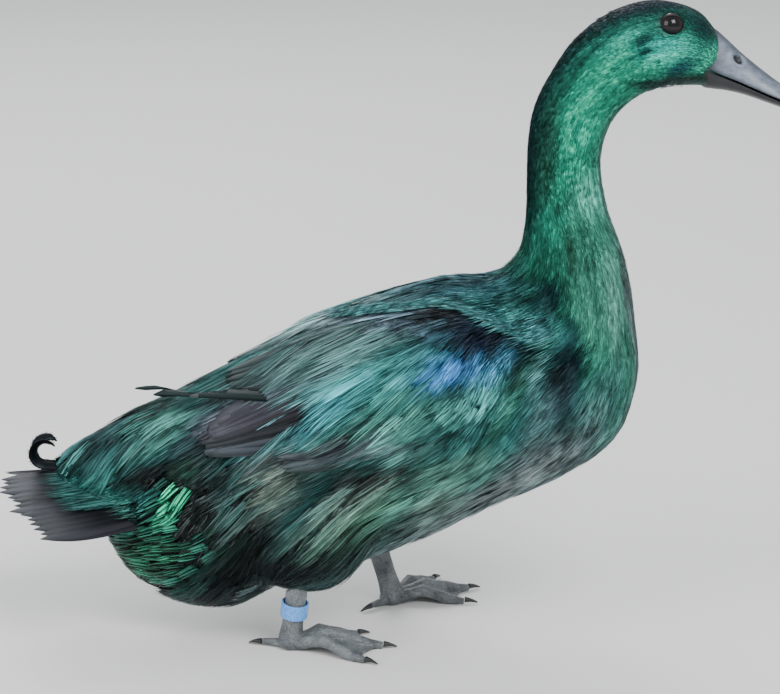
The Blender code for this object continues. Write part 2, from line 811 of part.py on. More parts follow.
def curled_feather(side):
    """It leaves the tail's root rearwards, rises and rolls forward."""
    centre = Vector((CURL_CENTRE.x, side * CURL_CENTRE.y, CURL_CENTRE.z))
    points = [Vector((CURL_ROOT.x, side * CURL_ROOT.y, CURL_ROOT.z))]
    for k in range(CURL_PARTS + 1):
        share = k / CURL_PARTS
        angle = math.radians(between(CURL_FIRST, CURL_LAST, share))
        aside = Vector((0, side * CURL_LEAN * share, 0))
        points.append(centre + aside + Vector((math.cos(angle), 0, math.sin(angle))) * CURL_RADIUS)
    ups = [(centre - point).normalized() for point in points]
    ups[0] = Vector((0, 0, 1))
    widths = vane_widths(CURL_HALF_WIDTH, CURL_PARTS + 1, root=0.9, tip=0.3, fullest=0.6)
    return vane(frames_along(points, ups), widths, CURL_THICKNESS)


def make_tail():
    tail = body_length("tail", just_after(RUMP_REAR), COVERT_TIPS, TAIL_ROWS, TAIL_SIDES)
    feathers = tail_fan(-1) + tail_fan(1) + [curled_feather(-1), curled_feather(1)]
    combine(tail, feathers)
    finish(tail, "green_plumage")


# Legs and feet. An ankle is the foot's joint at the floor, and a heel the joint above it.

Stance = namedtuple("Stance", "side ankle heel heading thigh thigh_radii")
STANCES = {
    "right": Stance(
        -1,
        Vector((-0.0615, -0.0375, 0.0085)),
        Vector((-0.0555, -0.0450, 0.0560)),
        -2.0,
        Vector((-0.0510, -0.0400, 0.0780)),
        (0.038, 0.024, 0.041),
    ),
    "left": Stance(
        1,
        Vector((0.0010, 0.0500, 0.0085)),
        Vector((-0.0130, 0.0450, 0.0560)),
        30.0,
        Vector((-0.0120, 0.0370, 0.0830)),
        (0.034, 0.023, 0.036),
    ),
}
SHANK_HALF_LENGTH, SHANK_HALF_WIDTH = 0.0068, 0.0052
SHANK_SIDES = 12
THIGH_SEGMENTS, THIGH_ROWS = 20, 12
SHANK_PROFILE = (
    (0.0065, 1.18),
    (0.0110, 1.10),
    (0.0160, 1.00),
    (0.0220, 0.96),
    (0.0320, 0.98),
    (0.0400, 1.06),
    (0.0560, 1.20),
)
Toe = namedtuple("Toe", "length spread radius")
FRONT_TOES = (Toe(0.0470, 31.0, 0.0036), Toe(0.0570, 2.0, 0.0040), Toe(0.0540, -29.0, 0.0037))
HIND_TOE = Toe(0.0190, 165.0, 0.0026)
HIND_TOE_HEIGHT = 0.0032
HIND_TOE_REACHES = (0.2, 0.6, 1.0)
HIND_TOE_RADII = (0.0030, 0.0026, 0.0019)
TOE_SWELLS = (1.2, 1.25, 1.02, 1.18, 0.95, 1.08, 0.86, 0.62)
TOE_SIDES = 8
TOE_FLATTENING = 0.82
TOE_ARCH = 0.0056
TOE_ARCH_SHARE = 0.86
WEB_THICKNESS = 0.0012
WEB_REACHES = (0.10, 0.32, 0.54, 0.76, 0.95)
WEB_HOLLOW = 0.07
WEB_SAG = 0.12
WEB_HEIGHTS = (0.0032, 0.0013)
WEB_PARTS = 5
FOOT_BALL_RADII = (0.0082, 0.0075, 0.0055)
FOOT_BALL_SEGMENTS, FOOT_BALL_ROWS = 12, 8
FLOOR_BLOCK_DEPTH = 0.1
CLAW_GAP = GAP * 1.3
CLAW_LENGTH = 0.0085
CLAW_RADIUS = 0.0021
CLAW_POINT = 0.25
CLAW_HEIGHTS = (0.0030, 0.0012)
CLAW_PARTS = 3
CLAW_SIDES = 6


def shank_point(stance, height):
    share = (height - stance.ankle.z) / (stance.heel.z - stance.ankle.z)
    return stance.ankle.lerp(stance.heel, share)


def make_thigh(name, stance):
    """The feathered thigh, which bulges from the body round the top of the shank."""
    return ball(name, stance.thigh, stance.thigh_radii, THIGH_SEGMENTS, THIGH_ROWS)


def make_shank(name, stance):
    """The bare lower leg, deeper than wide, thicker at both joints."""
    points = [shank_point(stance, height) for height, _ in SHANK_PROFILE]
    radii = [(SHANK_HALF_WIDTH * swell, SHANK_HALF_LENGTH * swell) for _, swell in SHANK_PROFILE]
    return path_tube(name, points, radii, SHANK_SIDES)


def toe_point(stance, toe, distance, height):
    heading = math.radians(stance.heading - stance.side * toe.spread)
    way = Vector((math.cos(heading), math.sin(heading), 0.0))
    return Vector((stance.ankle.x, stance.ankle.y, height)) + way * distance


def toe_arch(reach):
    """How far the toes arch off the floor, at a share of their length."""
    return TOE_ARCH * math.sin(math.pi * min(reach / TOE_ARCH_SHARE, 1.0)) ** 2


def make_toe(stance, toe):
    """A toe that swells at its joints and arches between its root and its tip."""
    points, radii = [], []
    for k, swell in enumerate(TOE_SWELLS):
        reach = k / (len(TOE_SWELLS) - 1)
        radius = toe.radius * swell
        height = radius * TOE_FLATTENING + toe_arch(reach)
        points.append(toe_point(stance, toe, toe.length * reach, height))
        radii.append(radius)
    return path_tube("toe", points, radii, TOE_SIDES)


def make_web(stance, first, second):
    """The thin skin between two toes, which sags a little and has a hollow front edge."""
    bm = bmesh.new()
    ankle = Vector((stance.ankle.x, stance.ankle.y, 0.0))
    lows, highs = [], []
    for k in range(WEB_PARTS + 1):
        t = k / WEB_PARTS
        row = []
        for reach in WEB_REACHES:
            a = toe_point(stance, first, first.length * reach, 0)
            b = toe_point(stance, second, second.length * reach, 0)
            hollow = WEB_HOLLOW * math.sin(math.pi * t) if reach == WEB_REACHES[-1] else 0.0
            point = ankle + (a.lerp(b, t) - ankle) * (1 - hollow)
            point.z = between(*WEB_HEIGHTS, reach) + toe_arch(reach) * (1 - WEB_SAG * math.sin(math.pi * t))
            row.append(point)
        lows.append([bm.verts.new(point - Vector((0, 0, WEB_THICKNESS / 2))) for point in row])
        highs.append([bm.verts.new(point + Vector((0, 0, WEB_THICKNESS))) for point in row])
    last = len(WEB_REACHES) - 1
    for i in range(WEB_PARTS):
        for j in range(last):
            bm.faces.new((highs[i][j], highs[i + 1][j], highs[i + 1][j + 1], highs[i][j + 1]))
            bm.faces.new((lows[i][j], lows[i][j + 1], lows[i + 1][j + 1], lows[i + 1][j]))
        for j in (0, last):
            bm.faces.new((highs[i][j], lows[i][j], lows[i + 1][j], highs[i + 1][j]))
    for i in (0, WEB_PARTS):
        for j in range(last):
            bm.faces.new((highs[i][j], highs[i][j + 1], lows[i][j + 1], lows[i][j]))
    return object_from(bm, "web")


def floor_block():
    """What is cut off under the feet, so that they stand on flats at one level."""
    bm = bmesh.new()
    bmesh.ops.create_cube(bm, size=1.0)
    depth = FLOOR_BLOCK_DEPTH
    place = Matrix.Translation((0, 0, -depth / 2)) @ Matrix.Diagonal((1.0, 1.0, depth, 1.0))
    bmesh.ops.transform(bm, matrix=place, verts=bm.verts)
    return object_from(bm, "floor_block", CUTTERS)


def make_foot(name, stance):
    """Three webbed front toes and a small hind toe, flat where they meet the floor."""
    base = Vector((stance.ankle.x, stance.ankle.y, FOOT_BALL_RADII[2] * TOE_FLATTENING))
    foot = ball(name, base, FOOT_BALL_RADII, FOOT_BALL_SEGMENTS, FOOT_BALL_ROWS)
    pieces = [make_toe(stance, toe) for toe in FRONT_TOES]
    pieces += [make_web(stance, a, b) for a, b in zip(FRONT_TOES[:-1], FRONT_TOES[1:])]
    hind = [
        toe_point(stance, HIND_TOE, HIND_TOE.length * reach, HIND_TOE_HEIGHT)
        for reach in HIND_TOE_REACHES
    ]
    pieces.append(path_tube("hind_toe", hind, HIND_TOE_RADII, TOE_SIDES))
    combine(foot, pieces)
    return cut(foot, [floor_block()])


def make_claw(name, stance, toe):
    """A short cone that droops to the floor, with its base at the toe's tip."""
    points, radii = [], []
    for k in range(CLAW_PARTS + 1):
        t = k / CLAW_PARTS
        height = between(*CLAW_HEIGHTS, t * t)
        points.append(toe_point(stance, toe, toe.length + CLAW_GAP + CLAW_LENGTH * t, height))
        radii.append(CLAW_RADIUS * between(1.0, CLAW_POINT, t))
    return path_tube(name, points, radii, CLAW_SIDES)


def make_legs(torso):
    for word, stance in STANCES.items():
        thigh = make_thigh("thigh_" + word, stance)
        cut_clear_of(thigh, [torso])
        shank = make_shank("leg_" + word, stance)
        cut_clear_of(shank, [thigh, torso])
        foot = make_foot("foot_" + word, stance)
        cut_clear_of(foot, [shank])
        for number, toe in enumerate((*FRONT_TOES, HIND_TOE), start=1):
            finish(make_claw(f"claw_{word}_{number}", stance, toe), "claw_black")
        finish(thigh, "dark_plumage")
        finish(shank, "leg_skin")
        finish(foot, "leg_skin")


# Leg band: a closed plastic ring that hangs round the right shank

BAND_HEIGHT = 0.0098
BAND_CENTRE_HEIGHT = 0.0270
BAND_SLACK = GAP * 2
BAND_WALL = 0.0012
BAND_BEVEL = 0.0003
BAND_PARTS = 22


def make_band(stance):
    inner = SHANK_HALF_LENGTH + BAND_SLACK
    outer = inner + BAND_WALL
    half = BAND_HEIGHT / 2
    profile = (
        (inner, half),
        (outer - BAND_BEVEL, half),
        (outer, half - BAND_BEVEL),
        (outer, BAND_BEVEL - half),
        (outer - BAND_BEVEL, -half),
        (inner, -half),
    )
    axis = (stance.heel - stance.ankle).normalized()
    place = Matrix.Translation(shank_point(stance, BAND_CENTRE_HEIGHT))
    place = place @ axis.to_track_quat("Z", "Y").to_matrix().to_4x4()
    rings = []
    for i in range(BAND_PARTS):
        angle = 2 * math.pi * i / BAND_PARTS
        rings.append([place @ Vector((r * math.cos(angle), r * math.sin(angle), h)) for r, h in profile])
    finish(tube_of_rings("leg_band", rings, closed_loop=True), "band_blue")


def build_duck():
    set_up_scene()
    make_head()
    make_bill()
    finish(body_length("neck", just_after(HEAD_END), NECK_BASE, NECK_ROWS, NECK_SIDES), "green_plumage")
    torso = body_length("torso", just_after(NECK_BASE), RUMP_REAR, TORSO_ROWS, TORSO_SIDES)
    finish(torso, "dark_plumage")
    make_wings()
    make_tail()
    make_legs(torso)
    make_band(STANCES["right"])
    bpy.data.collections.remove(CUTTERS)


build_duck()
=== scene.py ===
import math
from collections import namedtuple

import bmesh
import bpy
import numpy as np
from mathutils import Matrix, Vector


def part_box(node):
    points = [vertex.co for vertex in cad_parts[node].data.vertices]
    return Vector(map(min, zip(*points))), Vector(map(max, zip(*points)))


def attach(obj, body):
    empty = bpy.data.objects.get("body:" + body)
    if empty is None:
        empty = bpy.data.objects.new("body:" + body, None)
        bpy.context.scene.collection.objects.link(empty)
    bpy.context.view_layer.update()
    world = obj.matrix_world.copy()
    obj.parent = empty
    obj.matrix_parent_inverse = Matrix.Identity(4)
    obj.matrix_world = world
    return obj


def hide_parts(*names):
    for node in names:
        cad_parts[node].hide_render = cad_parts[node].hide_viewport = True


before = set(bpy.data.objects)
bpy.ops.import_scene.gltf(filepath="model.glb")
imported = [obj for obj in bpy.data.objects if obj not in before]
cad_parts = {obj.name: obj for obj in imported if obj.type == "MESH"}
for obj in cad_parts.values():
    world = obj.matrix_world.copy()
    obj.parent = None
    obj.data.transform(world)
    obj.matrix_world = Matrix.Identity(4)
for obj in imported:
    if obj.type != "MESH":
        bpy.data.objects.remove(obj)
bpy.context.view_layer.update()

# The body. One smooth form stands for the flesh of the head, neck, trunk, tail root and thighs, and
# for the folded arms of the wings. It is moulded in one piece and dyed like the feathers over it. It
# runs through the same rings as the solids and lies inside them by the depth of the coat.
Ring = namedtuple("Ring", "name back belly half_width low coat feather")
RINGS = (
    Ring("face", (0.206, 0.374), (0.2055, 0.343), 0.012, 0.1, 0.0006, 0.0026),
    Ring("bill base", (0.1975, 0.3822), (0.1995, 0.3445), 0.0135, 0.1, 0.0006, 0.0026),
    Ring("lores", (0.1885, 0.3925), (0.195, 0.346), 0.016, 0.12, 0.0007, 0.003),
    Ring("brow", (0.164, 0.4005), (0.1895, 0.3475), 0.0192, 0.15, 0.0008, 0.0034),
    Ring("crown", (0.136, 0.395), (0.179, 0.3475), 0.0212, 0.1, 0.001, 0.0042),
    Ring("nape", (0.112, 0.377), (0.1665, 0.347), 0.0214, 0.05, 0.0012, 0.0052),
    Ring("head end", (0.0965, 0.354), (0.152, 0.3425), 0.0207, 0.0, 0.0013, 0.006),
    Ring("neck top", (0.087, 0.334), (0.137, 0.329), 0.02, 0.0, 0.0014, 0.0066),
    Ring("neck upper", (0.0835, 0.311), (0.129, 0.305), 0.02, 0.0, 0.0015, 0.0072),
    Ring("neck middle", (0.083, 0.2925), (0.1325, 0.275), 0.0222, 0.0, 0.0016, 0.008),
    Ring("neck low", (0.0827, 0.28), (0.1455, 0.239), 0.029, 0.05, 0.0018, 0.0095),
    Ring("neck base", (0.082, 0.2655), (0.152, 0.201), 0.039, 0.08, 0.002, 0.012),
    Ring("breast top", (0.08, 0.2505), (0.154, 0.163), 0.049, 0.08, 0.0022, 0.0145),
    Ring("breast", (0.075, 0.238), (0.1415, 0.1305), 0.0565, 0.06, 0.0024, 0.016),
    Ring("breast low", (0.0615, 0.23), (0.1145, 0.1095), 0.0612, 0.04, 0.0026, 0.018),
    Ring("shoulder", (0.031, 0.227), (0.0625, 0.0848), 0.0645, 0.02, 0.0028, 0.021),
    Ring("back", (-0.0185, 0.211), (-0.003, 0.054), 0.0665, 0.0, 0.003, 0.025),
    Ring("loin", (-0.068, 0.191), (-0.063, 0.036), 0.064, -0.02, 0.0034, 0.027),
    Ring("rump", (-0.118, 0.1635), (-0.1125, 0.0205), 0.054, -0.04, 0.0038, 0.029),
    Ring("rump rear", (-0.14, 0.153), (-0.139, 0.025), 0.0455, -0.06, 0.004, 0.028),
    Ring("tail root", (-0.162, 0.144), (-0.16, 0.036), 0.035, -0.06, 0.004, 0.026),
    Ring("tail", (-0.183, 0.1315), (-0.173, 0.054), 0.0255, -0.04, 0.0038, 0.023),
    Ring("tail end", (-0.1985, 0.121), (-0.184, 0.08), 0.0195, 0.0, 0.003, 0.02),
    Ring("covert tips", (-0.2085, 0.1095), (-0.1965, 0.0985), 0.012, 0.0, 0.002, 0.016),
)
LAST_RING = len(RINGS) - 1
BILL_TIP = 0.259
RING_VALUES = np.array([[*r.back, *r.belly, r.half_width, r.low, r.coat, r.feather] for r in RINGS])
COAT_COLUMN, FEATHER_COLUMN = 6, 7

torso_low, torso_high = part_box("torso")
bird_place = np.array((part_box("bill_upper")[1].x - BILL_TIP, (torso_low.y + torso_high.y) / 2, 0.0))


def ring_stations():
    """Distance along the body at each ring, halfway between back and belly."""
    steps = np.diff(RING_VALUES[:, :4], axis=0)
    lengths = 0.5 * (np.hypot(steps[:, 0], steps[:, 1]) + np.hypot(steps[:, 2], steps[:, 3]))
    return np.concatenate([[0.0], np.cumsum(lengths)])


def ring_slopes(stations):
    gaps = np.diff(stations)[:, None]
    rates = np.diff(RING_VALUES, axis=0) / gaps
    inner = (rates[1:] * gaps[:-1] + rates[:-1] * gaps[1:]) / (gaps[:-1] + gaps[1:])
    return np.vstack([rates[:1], inner, rates[-1:]])


stations = ring_stations()
slopes = ring_slopes(stations)


def rounded(values, slopes, i, t, span):
    """Values a share t of the way from row i to the next, on a smooth curve through both."""
    return (
        (2 * t**3 - 3 * t**2 + 1) * values[i]
        + (t**3 - 2 * t**2 + t) * span * slopes[i]
        + (3 * t**2 - 2 * t**3) * values[i + 1]
        + (t**3 - t**2) * span * slopes[i + 1]
    )


def ring_at(place):
    """Ring values at places between rings, such as 3.4, for an array of places."""
    place = np.asarray(place, float)
    i = np.clip(np.floor(place), 0, LAST_RING - 1).astype(int)
    span = (stations[i + 1] - stations[i])[..., None]
    return rounded(RING_VALUES, slopes, i, (place - i)[..., None], span)


def body_point(place, turn):
    """Points of the body's outline. Turn 0 is the back, 90 the right side and 180 the belly."""
    back_x, back_z, belly_x, belly_z, half_width, low = np.moveaxis(ring_at(place)[..., :6], -1, 0)
    angle = np.radians(turn)
    up = np.cos(angle) - low * np.sin(angle) ** 2
    x = (back_x + belly_x) / 2 + (back_x - belly_x) / 2 * up
    z = (back_z + belly_z) / 2 + (back_z - belly_z) / 2 * up
    return np.stack([x, -half_width * np.sin(angle), z], axis=-1) + bird_place


def unit(vectors):
    return vectors / np.linalg.norm(vectors, axis=-1, keepdims=True)


def body_ways(place, turn):
    """The way rearwards, the way round towards the belly, and the way out of the body."""
    step = 0.01
    along = unit(body_point(place + step, turn) - body_point(place - step, turn))
    around = unit(body_point(place, np.add(turn, 1.0)) - body_point(place, np.add(turn, -1.0)))
    out = unit(np.cross(along, around))
    return along, unit(np.cross(out, along)), out


def smooth_step(low, high, value):
    share = np.clip((value - low) / (high - low), 0, 1)
    return share * share * (3 - 2 * share)


def between(low, high, share):
    return low + (high - low) * share


# Where the face's feathers end, in side view, from the chin past the mouth's corner to the forehead.
FACE_EDGE_HEIGHTS = (0.336, 0.348, 0.352, 0.356, 0.3592, 0.362, 0.3665, 0.374, 0.382, 0.4)
FACE_EDGE_PLACES = (0.193, 0.1925, 0.1912, 0.19, 0.1894, 0.1944, 0.1974, 0.1986, 0.1978, 0.195)
FACE_EDGE_SOFTNESS = 0.0012


def beyond_face(points):
    """How far in front of the face's edge points lie, in metres."""
    local = points - bird_place
    return local[..., 0] - np.interp(local[..., 2], FACE_EDGE_HEIGHTS, FACE_EDGE_PLACES)


WingEdge = namedtuple("WingEdge", "place upper lower thickness")
WING_EDGES = (
    WingEdge(13.95, 54, 67, 0.0032),
    WingEdge(14.2, 46, 75, 0.006),
    WingEdge(14.55, 38, 85, 0.0078),
    WingEdge(15.0, 32, 92, 0.0082),
    WingEdge(15.5, 26, 95, 0.0078),
    WingEdge(16.0, 20, 91, 0.0068),
    WingEdge(16.5, 17, 83, 0.0052),
    WingEdge(17.0, 16, 73, 0.0038),
    WingEdge(17.3, 18, 64, 0.0026),
)
WING_EDGE_SOFTNESS = 12.0
WING_EDGE_MARGIN = 2
WING_FRONT_RUN = 0.15
WING_REAR_START = 16.6


def wing_rise(place, turn):
    """How high the folded arm of the wing stands over the flank."""
    edges = np.array(WING_EDGES)
    side_turn = np.abs(turn)
    upper, lower, thick = (np.interp(place, edges[:, 0], edges[:, column]) for column in (1, 2, 3))
    inside = smooth_step(upper - WING_EDGE_MARGIN, upper + WING_EDGE_SOFTNESS, side_turn)
    outside = smooth_step(lower - WING_EDGE_SOFTNESS, lower + WING_EDGE_MARGIN, side_turn)
    front = smooth_step(edges[0, 0] - WING_FRONT_RUN, edges[1, 0], place)
    rear = smooth_step(WING_REAR_START, edges[-1, 0], place)
    return thick * (inside * (1 - outside)) * (front * (1 - rear))


Thigh = namedtuple("Thigh", "centre radii")
THIGHS = (
    Thigh((-0.051, -0.04, 0.078), (0.038, 0.024, 0.041)),
    Thigh((-0.012, 0.037, 0.083), (0.034, 0.023, 0.036)),
)
MOST_THIGH_RISE = 0.04


def thigh_rise(points, out):
    """How far the thighs stand out of the belly, measured along the way out."""
    rise = np.zeros(points.shape[:-1])
    for thigh in THIGHS:
        start = (points - bird_place - np.array(thigh.centre)) / np.array(thigh.radii)
        way = out / np.array(thigh.radii)
        a, b, c = (way * way).sum(-1), (start * way).sum(-1), (start * start).sum(-1) - 1
        root = b * b - a * c
        reach = np.where(root > 0, (-b + np.sqrt(np.maximum(root, 0))) / a, 0)
        rise = np.maximum(rise, np.where(c < 0, np.clip(reach, 0, MOST_THIGH_RISE), 0))
    return rise


def softened(values, rounds):
    """Averages a grid of values with its neighbours, round the body and along it."""
    for _ in range(rounds):
        values = (np.roll(values, 1, 1) + values * 2 + np.roll(values, -1, 1)) / 4
        values[1:-1] = (values[:-2] + values[1:-1] * 2 + values[2:]) / 4
    return values


SKIN_ROWS = 300
SKIN_COLUMNS = 256
THIGH_ROUNDS = 14
WING_ROUNDS = 4
FACE_DEPTH = 0.004
EYE_ON_SKIN = np.array((0.1697, 0.0158, 0.388))
EYE_HOLLOW_REACH = 0.0105
EYE_HOLLOW_DEPTH = 0.0016
EYE_HOLLOW_EDGE = 0.4

row_places = np.interp(np.linspace(0, stations[-1], SKIN_ROWS + 1), stations, np.arange(len(stations)))
column_turns = np.linspace(-180, 180, SKIN_COLUMNS, endpoint=False)
skin_place, skin_turn = np.meshgrid(row_places, column_turns, indexing="ij")
skin_outline = body_point(skin_place, skin_turn)
skin_along, skin_around, skin_out = body_ways(skin_place, skin_turn)
thighs = softened(thigh_rise(skin_outline, skin_out), THIGH_ROUNDS)
skin_rise = thighs + softened(wing_rise(skin_place, skin_turn), WING_ROUNDS)
face = smooth_step(0, FACE_EDGE_SOFTNESS, beyond_face(skin_outline))
eye_distance = np.linalg.norm(np.abs(skin_outline - bird_place) - EYE_ON_SKIN, axis=-1)
eye_hollow = 1 - smooth_step(EYE_HOLLOW_EDGE, 1.0, eye_distance / EYE_HOLLOW_REACH)
skin_depth = ring_at(skin_place)[..., COAT_COLUMN] + FACE_DEPTH * face + EYE_HOLLOW_DEPTH * eye_hollow
skin_points = skin_outline + skin_out * (skin_rise - skin_depth)[..., None]


def grid_normals(points):
    """Ways out of a closed tube of points, taken from the points themselves."""
    around = np.roll(points, -1, 1) - np.roll(points, 1, 1)
    along = np.gradient(points, axis=0)
    return unit(np.cross(along, around))


skin_out = grid_normals(skin_points)


def step_between(points, axis):
    """How far apart neighbouring points of the grid are, in metres."""
    after = np.roll(points, -1, 1) if axis else np.vstack([points[1:], points[-1:] * 2 - points[-2:-1]])
    return np.maximum(np.linalg.norm(after - points, axis=-1), 1e-5)


def combed(values, flow, step, rounds):
    """Draws values on the skin's grid out along the lie of the feathers, into locks."""
    rows, columns = np.indices(values.shape)
    down = rows + (flow * skin_along).sum(-1) * step / step_between(skin_points, 0)
    across = columns + (flow * skin_around).sum(-1) * step / step_between(skin_points, 1)
    down = np.clip(down, 0, SKIN_ROWS - 1e-6)
    row, column = np.floor(down).astype(int), np.floor(across).astype(int)
    down, across = down - row, across - column
    column, after = column % SKIN_COLUMNS, (column + 1) % SKIN_COLUMNS
    for _ in range(rounds):
        ahead = between(
            between(values[row, column], values[row, after], across),
            between(values[row + 1, column], values[row + 1, after], across),
            down,
        )
        values = (values + ahead) / 2
    return (values - values.mean()) / values.std()


# The side view in which the markings, the painted sheen and shade, and the lie of the feathers are measured:
# from the right side, 14 degrees above level, with its origin at the upper left. Both sides of the duck are
# alike.
SIDE_VIEW_PITCH = math.radians(14.0)
SIDE_VIEW_DISTANCE = 2.0
SIDE_VIEW_HEIGHT = 0.184
SIDE_VIEW_SCALE = 0.00062
SIDE_VIEW_MIDDLE = (390.0, 347.0)


def side_view(points):
    """Where points show in the side view, across and down."""
    local = points - bird_place
    near, rise = -np.abs(local[..., 1]), local[..., 2] - SIDE_VIEW_HEIGHT
    sine, cosine = math.sin(SIDE_VIEW_PITCH), math.cos(SIDE_VIEW_PITCH)
    scale = SIDE_VIEW_DISTANCE / SIDE_VIEW_SCALE / (SIDE_VIEW_DISTANCE + near * cosine - rise * sine)
    across = SIDE_VIEW_MIDDLE[0] + local[..., 0] * scale
    return across, SIDE_VIEW_MIDDLE[1] - (near * sine + rise * cosine) * scale
